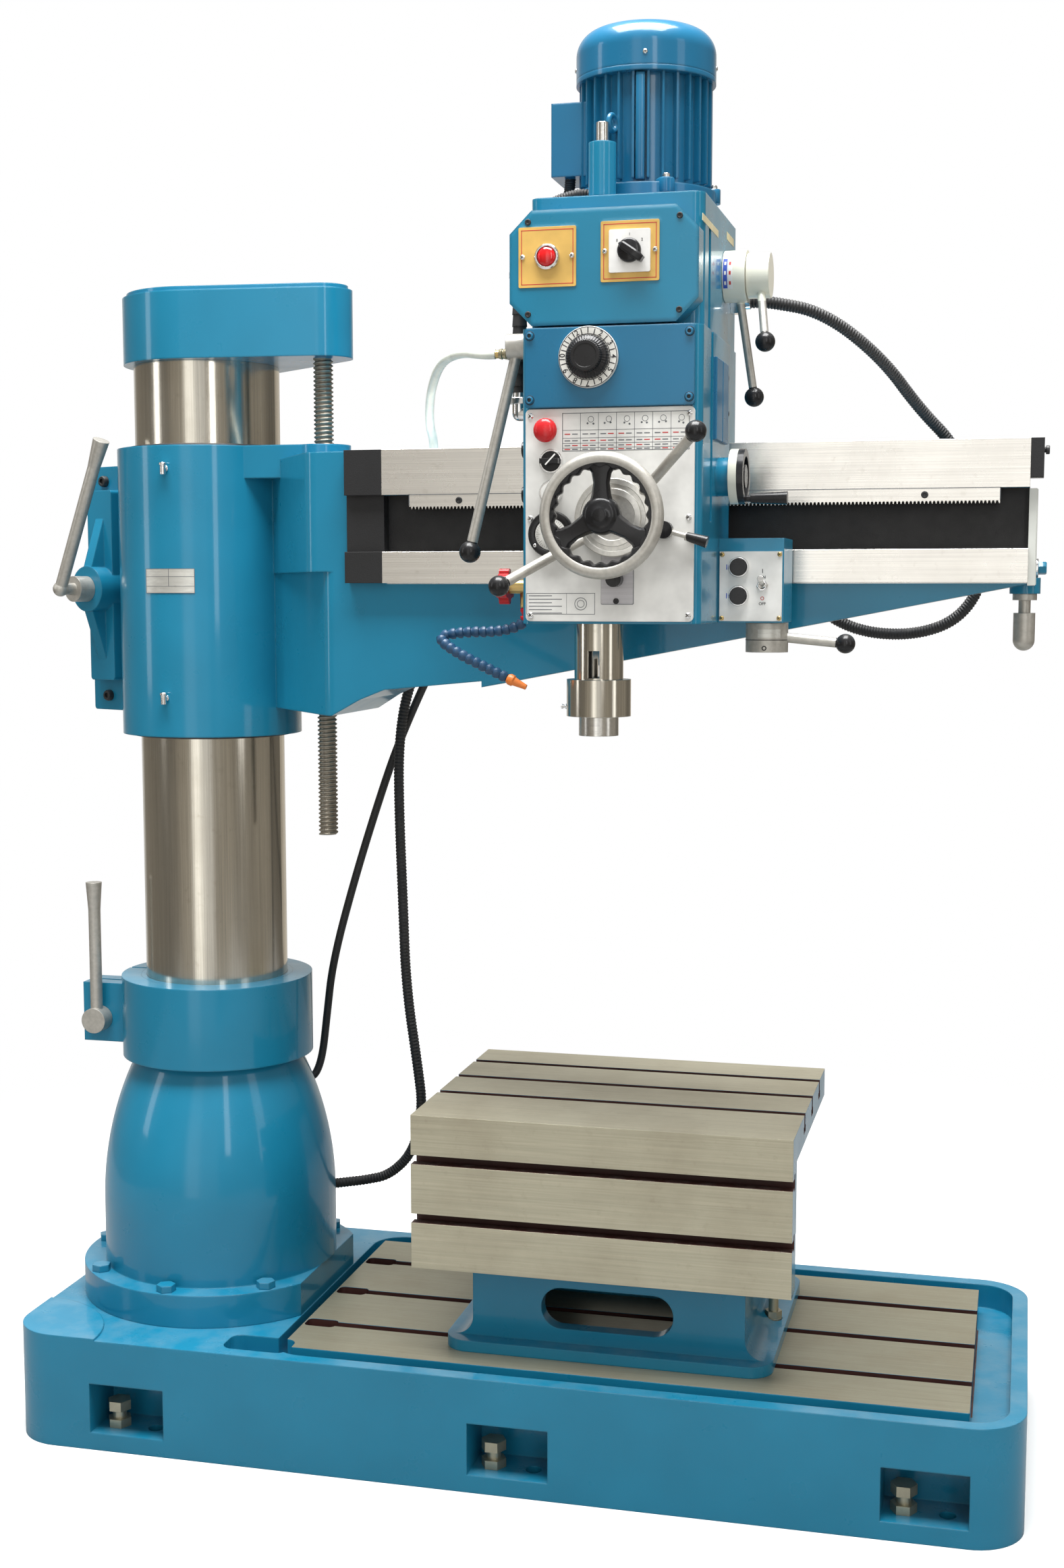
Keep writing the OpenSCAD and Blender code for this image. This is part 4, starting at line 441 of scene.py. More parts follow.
def makeMaterial(name, look, zones=()):
    material = bpy.data.materials.new(name)
    material.use_nodes = True
    tree = material.node_tree
    tree.nodes.clear()
    shader = look(tree)
    for zone, other in zones:
        mixed = put(tree, "ShaderNodeMixShader", {0: zone(tree)})
        tree.links.new(shader, mixed.inputs[1])
        tree.links.new(other(tree), mixed.inputs[2])
        shader = mixed.outputs[0]
    tree.links.new(shader, put(tree, "ShaderNodeOutputMaterial").inputs["Surface"])
    return material


def dress(material, *targets):
    for target in targets:
        obj = nodes[target] if isinstance(target, str) else target
        obj.data.materials.clear()
        obj.data.materials.append(material)


# looks
bluePaint = paint((0.01, 0.19, 0.318), (0.09, 0.3, 0.42), wear=0.3)
roundBlue = paint((0.01, 0.19, 0.318), (0.09, 0.3, 0.42), wear=0.2, edge=8.0)
# painted shade: the upper cover gets a darker blue for the shadow the control box casts on it
shadedCoverBlue = paint((0.008, 0.14, 0.268), (0.07, 0.24, 0.36), wear=0.3)
flatBlue = paint((0.008, 0.13, 0.26), (0.07, 0.24, 0.36), wear=0.3, edge=1.0, coat=0.0)
# painted shade: the motors get a darker blue than the other castings, for the shade on the motor's fins
shadedMotorBlue = paint((0.01, 0.13, 0.25), (0.07, 0.24, 0.36), wear=0.3)
machined = metal((0.46, 0.43, 0.32), soil=0.28, rough=0.42, metallic=0.4)
# painted shade: a darker copy of machined, so the base's plate stays dark under the strong top light
shadedPlateSteel = metal((0.29, 0.275, 0.2), soil=0.28, rough=0.42, metallic=0.4)
groundSteel = metal((0.6, 0.57, 0.5), stretch=(420, 420, 5), rough=0.16, soil=0.12, metallic=0.95)
brightSteel = metal((0.7, 0.69, 0.66), rough=0.24, soil=0.1, metallic=0.95)
whiteWay = metal((0.75, 0.73, 0.69), stretch=(4, 900, 900), rough=0.27, soil=0.1, metallic=0.92)
zinc = metal((0.44, 0.42, 0.32), stretch=(60, 60, 60), rough=0.34, soil=0.3, metallic=0.75, edge=0.6)
chrome = metal((0.82, 0.82, 0.82), stretch=(60, 60, 60), rough=0.14, soil=0.04, metallic=1.0)
satinGrey = metal((0.47, 0.455, 0.415), stretch=(160, 160, 160), rough=0.42, soil=0.12, metallic=0.6,
                  edge=1.5)
brass = metal((0.62, 0.45, 0.18), stretch=(90, 90, 90), rough=0.3, soil=0.2, metallic=0.9)
bronze = metal((0.5, 0.36, 0.16), rough=0.35, soil=0.25, metallic=0.85)
blackPlastic = moulded((0.013, 0.013, 0.014), rough=0.28, coat=0.2)
# black iron for the black parts, and painted shade where darkFinish fills recesses, grooves and gaps
blackIronAndShade = moulded((0.016, 0.016, 0.017), rough=0.5, grain=0.4, dust=0.4)
pitchBlack = moulded((0.006, 0.006, 0.007), rough=0.6, grain=0.4, dust=0.15)
rubber = moulded((0.018, 0.018, 0.019), rough=0.55, grain=0.3, dust=0.3)
whitePanel = moulded((0.72, 0.72, 0.695), rough=0.4, grain=0.06, dust=0.1, edge=0.6)
yellowPlate = moulded((0.64, 0.4, 0.1), rough=0.42, grain=0.06, dust=0.12, edge=0.6)
redPlastic = moulded((0.52, 0.018, 0.022), rough=0.26, grain=0.06, dust=0.15, coat=0.3)
slotPaint = moulded((0.055, 0.018, 0.014), rough=0.5, grain=0.4, dust=0.25)
hoseBlue = moulded((0.012, 0.058, 0.13), rough=0.4, grain=0.1, dust=0.2)
orangeTip = moulded((0.75, 0.2, 0.03), rough=0.38, grain=0.08, dust=0.15)
creamPaint = paint((0.7, 0.7, 0.6), (0.5, 0.48, 0.4), wear=0.3, peel=0.06, edge=1.5)


# castings
baseZones = [
    # the base's machined top takes that darker copy: painted shade
    (both(facing("Z", 1), inBox((184, -233, 159), (1130, 233, 161))), shadedPlateSteel),
    (inBox((180, -160, 120), (1130, 160, 159.4)), slotPaint),
]
tableZones = [
    (inBox((376, -231, 287.5), (898, -229.4, 504)), machined),
    (both(facing("Z", 1), inBox((376, -231, 502), (898, 171, 504))), machined),
    (inBox((377.2, -229.5, 340), (896.9, -180, 470)), slotPaint),
    (inBox((377.2, -125, 460), (896.9, 121, 502.6)), slotPaint),
]
armZones = [
    (inBox((345, -237, 1336), (1173, -150, 1396)), whiteWay),
    (inBox((345, -237, 1220), (1173, -190, 1262.5)), whiteWay),
    (inBox((310, -216, 1262.5), (1173, -190, 1336)), pitchBlack),
]
dress(makeMaterial("baseFinish", bluePaint, baseZones), "base_casting")
dress(makeMaterial("tableFinish", bluePaint, tableZones), "box_table")
dress(makeMaterial("armFinish", bluePaint, armZones), "arm_casting")
dress(makeMaterial("castFinish", bluePaint), "pedestal", "clamp_collar", "column_cap", "arm_clamp_bracket",
      "control_cabinet", "head_casting")
# the upper cover's finish carries that painted shade
dress(makeMaterial("coverShadeFinish", shadedCoverBlue), "upper_cover")
# the motors' finish carries that painted shade
dress(makeMaterial("motorShadeFinish", shadedMotorBlue), "drive_motor", "fan_cover", "elevating_motor")
fastenerZones = [(inBox((-240, -240, 200), (190, 240, 230)), bluePaint)]
dress(makeMaterial("fastenerFinish", zinc, fastenerZones), "base_fasteners")
dress(makeMaterial("columnFinish", groundSteel), "column", "quill")
dress(makeMaterial("brightFinish", brightSteel), "spindle", "spindle_bearings", "motor_rotor",
      "traverse_pinion", "elevation_toggle")
oilySteel = metal((0.05, 0.045, 0.04), rough=0.5, soil=0.3, metallic=0.6)
dress(makeMaterial("rackFinish", oilySteel, [(facing("Y", -1), whiteWay)]), "traverse_rack")
bushZones = [(inBox((-140, -140, 626), (140, 140, 660)), bluePaint)]
dress(makeMaterial("bronzeFinish", bronze, bushZones), "column_bushes", "elevating_nut")
dress(makeMaterial("satinFinish", satinGrey), "arm_handle", "gear_cover", "column_clamp_lever",
      "arm_clamp_lever")
dress(makeMaterial("blackFinish", blackPlastic), "feed_selector", "depth_knob", "up_button", "down_button")
dress(makeMaterial("valveHandleFinish", redPlastic), "valve_handle")
dress(makeMaterial("blockFinish", pitchBlack), "way_stops")
dress(makeMaterial("panelFinish", whitePanel), "front_panel", "start_button")
print("castings dressed")


# levers and fittings
def leverFinish(name, node, centres, radius=13.2, zones=()):
    knobs = [(inBall(c, radius), blackPlastic) for c in centres]
    dress(makeMaterial(name, satinGrey, knobs + list(zones)), node)


leverFinish("capstanFinish", "capstan", [(816.2, -563, 1384), (592.9, -563, 1215.7)])
hubZone = (inBox((795, -304, 1560), (872, -238, 1626)), creamPaint)
leverFinish("outerLeverFinish", "outer_speed_lever", [(858.5, -316.1, 1508.2)], zones=[hubZone])
leverFinish("innerLeverFinish", "inner_speed_lever", [(837.1, -250.8, 1449.4)], zones=[hubZone])
leverFinish("lockLeverFinish", "head_lock_lever", [(958.5, -296, 1146.5)])
leverFinish("rangeLeverFinish", "range_lever", [(521.2, -430, 1257)], 14.2)
wheelGrip = (inBox((833, -380, 1300), (895, -300, 1400)), blackPlastic)
dress(makeMaterial("traverseFinish", creamPaint, [wheelGrip]), "traverse_wheel")
leverStem = (inBall((783.6, -473, 1272.9), 12), satinGrey)
dress(makeMaterial("feedLeverFinish", blackPlastic, [leverStem]), "feed_lever")
oilerTop = (inBox((650, -450, 1727), (710, -390, 1760)), brightSteel)
dress(makeMaterial("oilFinish", bluePaint, [oilerTop]), "oil_cup")
fittingZones = [(inBox((500, -300, 1300), (593, -250, 1430)), blackPlastic),
                (inBox((540, -420, 1446), (600, -380, 1556)), rubber),
                (inBox((525, -362, 1484), (594, -334, 1514)), brass)]
dress(makeMaterial("fittingFinish", chrome, fittingZones), "conduit_fittings")
dress(makeMaterial("valveFinish", brass), "coolant_valve")
boxFace = (inBox((806, -334, 1172), (888, -330.1, 1280)), whitePanel)
dress(makeMaterial("elevationFinish", bluePaint, [boxFace]), "elevation_box")
signFaces = (inBox((580, -473, 1500), (810, -470.05, 1660)), yellowPlate)
dress(makeMaterial("controlFinish", roundBlue, [signFaces]), "control_box")


# loose parts of a CAD node, as boxes in mm
def islands(node):
    mesh = nodes[node].data
    home = list(range(len(mesh.vertices)))

    def root(i):
        while home[i] != i:
            home[i] = home[home[i]]
            i = home[i]
        return i
    seen = {}
    for v in mesh.vertices:
        key = tuple(round(c, 6) for c in v.co)
        home[root(v.index)] = root(seen.setdefault(key, v.index))
    for edge in mesh.edges:
        home[root(edge.vertices[0])] = root(edge.vertices[1])
    groups = {}
    for v in mesh.vertices:
        groups.setdefault(root(v.index), []).append(v.co)
    boxes = []
    for points in groups.values():
        low = Vector([min(p[k] for p in points) for k in range(3)]) / mm
        high = Vector([max(p[k] for p in points) for k in range(3)]) / mm
        boxes.append((low, high))
    return sorted(boxes, key=lambda b: tuple(round(c, 2) for c in b[0]))


# elevating screw with its thread
screwSpec = {"x": 202, "y": -60, "low": 862, "high": 1565, "radius": 14, "pitch": 6.0, "depth": 2.6,
             "sides": 24, "steps": 6}


def makeScrew(spec):
    bm = bmesh.new()
    count = round((spec["high"] - spec["low"]) / spec["pitch"] * spec["steps"])
    rings = []
    for i in range(count + 1):
        z = spec["low"] + i * spec["pitch"] / spec["steps"]
        ring = []
        for k in range(spec["sides"]):
            share = (i / spec["steps"] - k / spec["sides"]) % 1.0
            flank = min(max(abs(share - 0.5) * 4 - 0.5, 0), 1)
            r = spec["radius"] - spec["depth"] * flank
            a = 2 * math.pi * k / spec["sides"]
            ring.append(point(spec["x"] + r * math.cos(a), spec["y"] + r * math.sin(a), min(z, spec["high"])))
        rings.append(ring)
    loftRings(bm, rings)
    obj = meshPiece("threadedScrew", bm, "column", 50)
    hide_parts("elevating_screw")
    dress(makeMaterial("threadFinish", metal((0.33, 0.3, 0.25), rough=0.38, soil=0.45, metallic=0.85)), obj)


makeScrew(screwSpec)


# coolant hose of snapped links, its red collar and its nozzle
coolantSpec = {"start": (567.5, -340, 1190), "radius": 7, "links": 24, "collarLinks": 2, "sides": 16,
               "nozzle": 26, "steps": 400,
               "route": [(0, 0, 0), (0, 0, -20), (-30, -10, -30), (-75, -20, -30), (-108, -28, -36),
                         (-80, -42, -54), (-40, -44, -73), (-12, -44, -86)],
               "link": [(0.0, 0.66), (0.12, 0.98), (0.45, 1.0), (0.62, 0.9), (0.85, 0.74)],
               "tip": [(0, 0.75), (0.12, 1.02), (0.3, 1.0), (0.36, 0.78), (0.9, 0.5), (1.0, 0.47)]}


def makeCoolantHose(spec):
    start = Vector(spec["start"])
    path = smoothRoute([(start + Vector(p)) * mm for p in spec["route"]])
    last = spec["steps"]
    fine = spreadRoute(path, last + 1)[0]
    rings, collar = [], []
    for i in range(spec["links"]):
        for share, size in spec["link"]:
            at = round((i + share) / spec["links"] * last)
            d = fine[min(at + 1, last)] - fine[max(at - 1, 0)]
            ring = ringAt(fine[at], d, spec["radius"] * size * mm, spec["sides"])
            (collar if i < spec["collarLinks"] else rings).append(ring)
    bm = bmesh.new()
    loftRings(bm, rings)
    hose = meshPiece("coolantLinks", bm, "head", 35)
    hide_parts("coolant_hose")
    dress(makeMaterial("linkFinish", hoseBlue), hose)
    bm = bmesh.new()
    loftRings(bm, collar)
    dress(makeMaterial("collarFinish", redPlastic), meshPiece("hoseCollar", bm, "head", 35))
    bm = bmesh.new()
    d = (fine[last] - fine[last - 3]).normalized()
    tip = [(spec["nozzle"] * s, spec["radius"] * r) for s, r in spec["tip"]]
    turned(bm, fine[last], d, tip, spec["sides"])
    dress(makeMaterial("tipFinish", orangeTip), meshPiece("hoseNozzle", bm, "head", 35))


makeCoolantHose(coolantSpec)
print("screw and coolant hose made")


# feed handwheel; a spoke section is its distance from the axis, half width, and depth behind and in front
wheelSpec = {"x": 709, "z": 1294, "back": -546, "front": -562, "rim": 63, "thick": 8, "ring": (53, 58),
             "half": 6.5, "waves": 24, "wave": 1.6, "turnSteps": 96, "rimSteps": 20, "spokes": (90, 210, 330),
             "spoke": [(10, 15, 6, 8), (22, 11, 5, 7), (36, 9, 4.5, 6), (47, 11, 5, 6), (55, 17, 6, 6)],
             "hub": [(0, 20), (6, 22), (16, 21), (20, 18), (21.5, 14), (22, 9), (22.6, 8.4), (23, 6),
                     (23.2, 0.4)]}


def wheelPoint(r, angle, y):
    return point(wheelSpec["x"] + r * math.cos(angle), y, wheelSpec["z"] + r * math.sin(angle))


def makeWheel(spec):
    middle = (spec["back"] + spec["front"]) / 2
    bm = bmesh.new()
    rings = []
    turns = [2 * math.pi * k / spec["rimSteps"] for k in range(spec["rimSteps"])]
    for i in range(spec["turnSteps"]):
        a = 2 * math.pi * i / spec["turnSteps"]
        rings.append([wheelPoint(spec["rim"] + spec["thick"] * math.cos(t), a,
                                 middle + spec["thick"] * math.sin(t)) for t in turns])
    loftRings(bm, rings, closed=True)
    rim = meshPiece("wheelRim", bm, "feed_handwheel")
    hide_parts("feed_handwheel")
    dress(makeMaterial("rimFinish", satinGrey), rim)
    bm = bmesh.new()
    rings = []
    half, outer = spec["half"], spec["ring"][1]
    steps = spec["waves"] * 8
    for i in range(steps):
        a = 2 * math.pi * i / steps
        inner = spec["ring"][0] - spec["wave"] * math.cos(spec["waves"] * a)
        section = ((outer, -half), (inner + 2, -half), (inner, -4), (inner, 4), (inner + 2, half),
                   (outer, half))
        rings.append([wheelPoint(r, a, middle + y) for r, y in section])
    loftRings(bm, rings, closed=True)
    for angle in spec["spokes"]:
        base = math.radians(angle)
        rings = []
        for r, wide, behind, ahead in spec["spoke"]:
            edge = [(-wide, 0.25), (-wide * 0.7, 0.9), (0, 1.0), (wide * 0.7, 0.9), (wide, 0.25),
                    (wide, -0.7), (0, -1.0), (-wide, -0.7)]
            rings.append([wheelPoint(math.hypot(r, t), base + math.atan2(t, r),
                                     middle - (ahead if s > 0 else behind) * s) for t, s in edge])
        loftRings(bm, rings)
    turned(bm, point(spec["x"], spec["back"] + 4, spec["z"]), front, spec["hub"], 40)
    dress(makeMaterial("spiderFinish", blackPlastic), meshPiece("wheelSpider", bm, "feed_handwheel"))


makeWheel(wheelSpec)
print("handwheel made")


# helpers for small fittings and printed marks, in mm
markThick = 0.12  # marks stand this proud of the face
markSunk = 0.3    # and start this far inside it


def turnedRing(bm, start, direction, section, sides=48):
    d = direction.normalized()
    loftRings(bm, [ringAt(start + d * (s * mm), d, r * mm, sides) for s, r in section], closed=True)


def shapeOn(bm, outline, y, thick):
    # an outline in x and z, standing proud of a face that looks along -Y
    loftRings(bm, [[point(x, y + 0.4, z) for x, z in outline], [point(x, y - thick, z) for x, z in outline]])


def lineOn(bm, a, b, y, width=0.5):
    start, end = Vector(a), Vector(b)
    d = (end - start).normalized() * (width / 2)
    n = Vector((-d.y, d.x))
    shapeOn(bm, [start - d + n, end + d + n, end + d - n, start - d - n], y, markThick)


def frameOn(bm, low, high, y, width=0.5):
    corners = [(low[0], low[1]), (high[0], low[1]), (high[0], high[1]), (low[0], high[1])]
    for k in range(4):
        lineOn(bm, corners[k], corners[(k + 1) % 4], y, width)


def circleOn(bm, x, z, y, radius, width=0.5, sides=28):
    high = markSunk + markThick
    turnedRing(bm, point(x, y + markSunk, z), front,
               [(0, radius - width), (0, radius), (high, radius), (high, radius - width)], sides)


def dotOn(bm, x, z, y, radius):
    turned(bm, point(x, y + markSunk, z), front, [(0, radius), (markSunk + markThick, radius)], 16)


def figuresOn(bm, text, place, across, up, height):
    curve = bpy.data.curves.new("figures", "FONT")
    curve.body = text
    curve.align_x, curve.align_y = "CENTER", "CENTER"
    curve.size = height * mm / 0.7
    curve.extrude = markThick * mm
    curve.offset = 0.02 * height * mm
    made = bpy.data.objects.new("figures", curve)
    scene.collection.objects.link(made)
    mesh = bpy.data.meshes.new_from_object(made.evaluated_get(bpy.context.evaluated_depsgraph_get()))
    turn = Matrix((across, up, across.cross(up))).transposed().to_4x4()
    mesh.transform(Matrix.Translation(place) @ turn)
    bm.from_mesh(mesh)
    bpy.data.objects.remove(made)
    bpy.data.curves.remove(curve)
    bpy.data.meshes.remove(mesh)


def headOn(heads, sockets, place, direction, radius, height):
    # a turned screw head with a hexagon socket; the socket's floor goes into the second mesh, which the
    # callers draw dark as painted shade of the recess
    turned(heads, place, direction, [(-0.4, radius), (height * 0.72, radius), (height, radius * 0.86),
                                     (height, radius * 0.5), (height * 0.45, radius * 0.48)], 24)
    d = direction.normalized()
    turned(sockets, place + d * (height * 0.4 * mm), d, [(0, radius * 0.5), (height * 0.22, radius * 0.5)], 6)


def crossOn(heads, slots, place, direction, radius, height):
    # a domed head; its cross recess is drawn as a dark cross standing on the dome: painted shade of the
    # recess
    turned(heads, place, direction, [(-0.4, radius), (height * 0.35, radius), (height * 0.75, radius * 0.8),
                                     (height * 0.97, radius * 0.45), (height, 0.08)], 20)
    d = direction.normalized()
    u, w = frameAlong(d)
    for a, b in ((u, w), (w, u)):
        ring = [place + (a * i * 0.55 + b * j * 0.12) * (radius * mm) for i, j in square]
        loftRings(slots, [[p + d * (height * s * mm) for p in ring] for s in (0.6, 1.04)])


def slabOn(bm, x, low, high, steps):
    # a plate on a face that looks along +X: corners in y and z, then pairs of height and inset
    (y0, z0), (y1, z1) = low, high
    rings = []
    for s, c in steps:
        corners = ((y0 + c, z0 + c), (y1 - c, z0 + c), (y1 - c, z1 - c), (y0 + c, z1 - c))
        rings.append([point(x + s, y, z) for y, z in corners])
    loftRings(bm, rings)


def frontRing(at, ahead, count, radiusAt):
    turns = [2 * math.pi * k / count for k in range(count)]
    return [at + front * (ahead * mm) + around(a) * (radiusAt(k, a) * mm) for k, a in enumerate(turns)]


def printInk(name, colour, rough=0.5):
    return makeMaterial(name, moulded(colour, rough=rough, grain=0.05, dust=0.02, edge=0.05))


blackInk = printInk("inkFinish", (0.022, 0.022, 0.026), 0.55)
redInk = printInk("redInkFinish", (0.5, 0.03, 0.03))
blueInk = printInk("blueInkFinish", (0.03, 0.08, 0.42))
greyInk = printInk("greyInkFinish", (0.13, 0.14, 0.15))
chromeFinish = makeMaterial("chromeFinish", chrome)
# dark finish: black parts, and painted shade in screw sockets, cross recesses, the lock groove and the gaps
# round the cover screws
darkFinish = makeMaterial("darkFinish", blackIronAndShade)
knobFinish = makeMaterial("knobFinish", blackPlastic)
dialMetal = metal((0.78, 0.78, 0.74), stretch=(120, 120, 120), rough=0.34, soil=0.08, metallic=0.25, edge=0.4)
faceFinish = makeMaterial("dialFaceFinish", dialMetal)
bareMetal = metal((0.62, 0.62, 0.58), stretch=(8, 300, 300), rough=0.38, soil=0.12, metallic=0.6, edge=0.3)
plainPlate = makeMaterial("plainPlateFinish", bareMetal)

# screws of the head's covers: the control box is above one height, the upper cover above another
coverScrewSpec = {"box": 1515, "cover": 1421, "sunk": (0.9, 1.6), "ring": (1.1, 0.8), "dome": 2.0}


def makeCoverScrews(spec):
    heads, blueHeads, sockets, slots = (bmesh.new() for k in range(4))
    for low, high in islands("panel_screws"):
        x, z = (low.x + high.x) / 2, (low.z + high.z) / 2
        radius, back = (high.x - low.x) / 2, high.y
        place = point(x, back, z)
        if z > spec["box"]:
            headOn(sockets, sockets, place, front, radius * spec["sunk"][0], spec["sunk"][1])
        elif z > spec["cover"]:
            headOn(blueHeads, sockets, place, front, radius, high.y - low.y - 0.6)
            # painted shade: a dark ring round each cover screw's head, for the gap about it
            circleOn(sockets, x, z, back, radius + spec["ring"][0], spec["ring"][1])
        else:
            crossOn(heads, slots, place, front, radius, spec["dome"])
    pieces = [meshPiece("panelScrewHeads", heads, "head"),
              meshPiece("coverScrewHeads", blueHeads, "head"),
              meshPiece("coverSocketsAndShade", sockets, "head"),
              meshPiece("panelScrewSlots", slots, "head")]
    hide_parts("panel_screws")
    # the blue heads take the upper cover's finish, with its painted shade
    looks = (chromeFinish, nodes["upper_cover"].data.materials[0], darkFinish, darkFinish)
    for piece, look in zip(pieces, looks):
        dress(look, piece)


makeCoverScrews(coverScrewSpec)

# speed dial
speedSpec = {"x": 676.6, "z": 1477, "back": -474.4, "disc": 35, "thick": 5, "figures": 29.8, "height": 6.2,
             "count": 12, "ticks": (26, 32), "rings": (26.4, 34.2), "flutes": 44, "flute": 0.7,
             "knob": [(5, 25.4), (11, 24.8), (13, 23.6), (15, 20.4), (16, 19.2), (21, 18.2), (22, 17.2),
                      (22, 13.5), (21.4, 13), (21.4, 0.2)]}


def makeSpeedDial(spec):
    at = point(spec["x"], spec["back"], spec["z"])
    disc, thick, flutes = spec["disc"], spec["thick"], spec["flutes"]
    bm = bmesh.new()
    turned(bm, at, front, [(0, disc - 1), (0.6, disc), (thick - 1, disc), (thick, disc - 0.8), (thick, 25),
                           (thick - 1, 20)], 72)
    face = meshPiece("speedDialFace", bm, "speed_dial")
    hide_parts("speed_dial")
    dress(faceFinish, face)
    bm = bmesh.new()
    rings = []
    for s, r in spec["knob"]:
        deep = spec["flute"] if r > 16 else 0  # the cap on the knob is smooth
        rings.append(frontRing(at, s, flutes * 4, lambda k, a: r - deep * (0.5 + 0.5 * math.cos(flutes * a))))
    loftRings(bm, rings)
    dress(knobFinish, meshPiece("speedKnob", bm, "speed_dial", 30))
    bm = bmesh.new()
    step = 2 * math.pi / spec["count"]
    for k in range(spec["count"]):
        a = math.pi / 2 - step * k
        upward = around(a)
        place = at + front * ((thick + 0.05) * mm) + upward * (spec["figures"] * mm)
        figuresOn(bm, str(k + 1), place, upward.cross(front), upward, spec["height"])
        tick = around(a - step / 2)
        ends = [(spec["x"] + r * tick.x, spec["z"] + r * tick.z) for r in spec["ticks"]]
        lineOn(bm, *ends, spec["back"] - thick, 1.2)
    for r in spec["rings"]:
        circleOn(bm, spec["x"], spec["z"], spec["back"] - thick, r, 0.8, sides=72)
    dress(blackInk, meshPiece("speedFigures", bm, "speed_dial"))


makeSpeedDial(speedSpec)

# depth dial
depthSpec = {"x": 632.5, "z": 1276, "back": -470.4, "ticks": 40, "marks": (12.6, 15, 17),
             "screws": (95, 215, 335), "screwRadius": 22.6, "screwLift": 9.2,
             "ring": [(0, 18.6), (0, 26.4), (1, 27), (7.5, 27), (9, 25.8), (9.4, 22), (9, 19.6), (7.5, 18.6)],
             "face": [(1, 18.4), (8, 18.4), (8.4, 17.8), (8.4, 9), (10.5, 8.4), (11.6, 7.4), (12, 4),
                      (12, 0.2)]}


def makeDepthDial(spec):
    at = point(spec["x"], spec["back"], spec["z"])
    bm = bmesh.new()
    turnedRing(bm, at, front, spec["ring"], 64)
    ring = meshPiece("depthRing", bm, "depth_dial")
    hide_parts("depth_dial")
    dress(knobFinish, ring)
    bm = bmesh.new()
    turned(bm, at, front, spec["face"], 56)
    dress(faceFinish, meshPiece("depthFace", bm, "depth_dial"))
    bm = bmesh.new()
    long, short, outer = spec["marks"]
    for k in range(spec["ticks"]):
        d = around(2 * math.pi * k / spec["ticks"])
        ends = [(spec["x"] + r * d.x, spec["z"] + r * d.z) for r in (short if k % 4 else long, outer)]
        lineOn(bm, *ends, spec["back"] - 8.4, 0.3)
    dress(blackInk, meshPiece("depthMarks", bm, "depth_dial"))
    heads, slots = bmesh.new(), bmesh.new()
    for angle in spec["screws"]:
        away = around(math.radians(angle)) * spec["screwRadius"] + front * spec["screwLift"]
        crossOn(heads, slots, at + away * mm, front, 2.2, 1.3)
    dress(chromeFinish, meshPiece("depthScrews", heads, "depth_dial"))
    dress(darkFinish, meshPiece("depthScrewSlots", slots, "depth_dial"))


makeDepthDial(depthSpec)

# buttons, selector, lamp and switch
stopSpec = {"x": 626.5, "z": 1395, "back": -470.4,
            "profile": [(3.4, 7), (5, 7), (6, 11), (7.5, 13.2), (9.5, 14), (12, 13.7), (14.5, 12.2),
                        (16.5, 9.2), (17.6, 5.4), (18, 0.3)]}
bezels = [
    {"name": "selectorBezel", "x": 631.4, "z": 1360, "y": -470, "inner": 11.4, "outer": 14.2, "high": 4},
    {"name": "stopBezel", "x": 626.5, "z": 1395, "y": -470, "inner": 7.6, "outer": 9.6, "high": 2.1},
    {"name": "startBezel", "x": 631.4, "z": 1324, "y": -470, "inner": 10.4, "outer": 14, "high": 6},
    {"name": "upBezel", "x": 832.1, "z": 1239.3, "y": -332, "inner": 10.4, "outer": 12.6, "high": 5},
    {"name": "downBezel", "x": 832.1, "z": 1204.6, "y": -332, "inner": 10.4, "outer": 12.6, "high": 5},
]
lampSpec = {"x": 626.5, "z": 1592, "y": -471.2, "teeth": 48, "tooth": 0.25,
            "ring": [(0, 15), (1.2, 15), (3.6, 14.6), (5, 13.2), (5, 11.4), (0, 11.4)],
            "lens": [(0.3, 11.2), (3.2, 11.2), (5.2, 10.2), (6.8, 7.6), (7.6, 4), (7.8, 0.2)]}
# a section of the switch's grip is its place along the grip, half width, low and high
switchSpec = {"x": 723.4, "z": 1595, "y": -471.2, "plate": 24, "thick": 2.6, "turn": -35,
              "figures": (("0", 140), ("1", 90), ("2", 40)),
              "base": [(0, 13.6), (4, 13.6), (6, 12.8), (7, 11.4), (7.4, 0.2)],
              "grip": [(-13, 1.5, 3, 9), (-9, 4.2, 1, 13), (6, 4.6, 1, 15), (16, 4.4, 1.5, 15),
                       (20, 3.4, 3, 13)]}
selectorSpec = {"ends": ((628, 1356), (638.5, 1367)), "y": -484.4, "width": 1.6}


def makeStop(spec):
    bm = bmesh.new()
    turned(bm, point(spec["x"], spec["back"], spec["z"]), front, spec["profile"], 48)
    cap = meshPiece("stopCap", bm, "stop_button", 60)
    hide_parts("stop_button")
    dress(makeMaterial("stopCapFinish", redPlastic), cap)


def makeBezel(spec):
    bm = bmesh.new()
    inner, outer, high = spec["inner"], spec["outer"], spec["high"]
    turnedRing(bm, point(spec["x"], spec["y"], spec["z"]), front,
               [(0, inner), (0, outer), (high * 0.6, outer), (high, outer - 1.2), (high, inner + 0.3),
                (high - 0.5, inner)])
    dress(chromeFinish, meshPiece(spec["name"], bm, "head"))


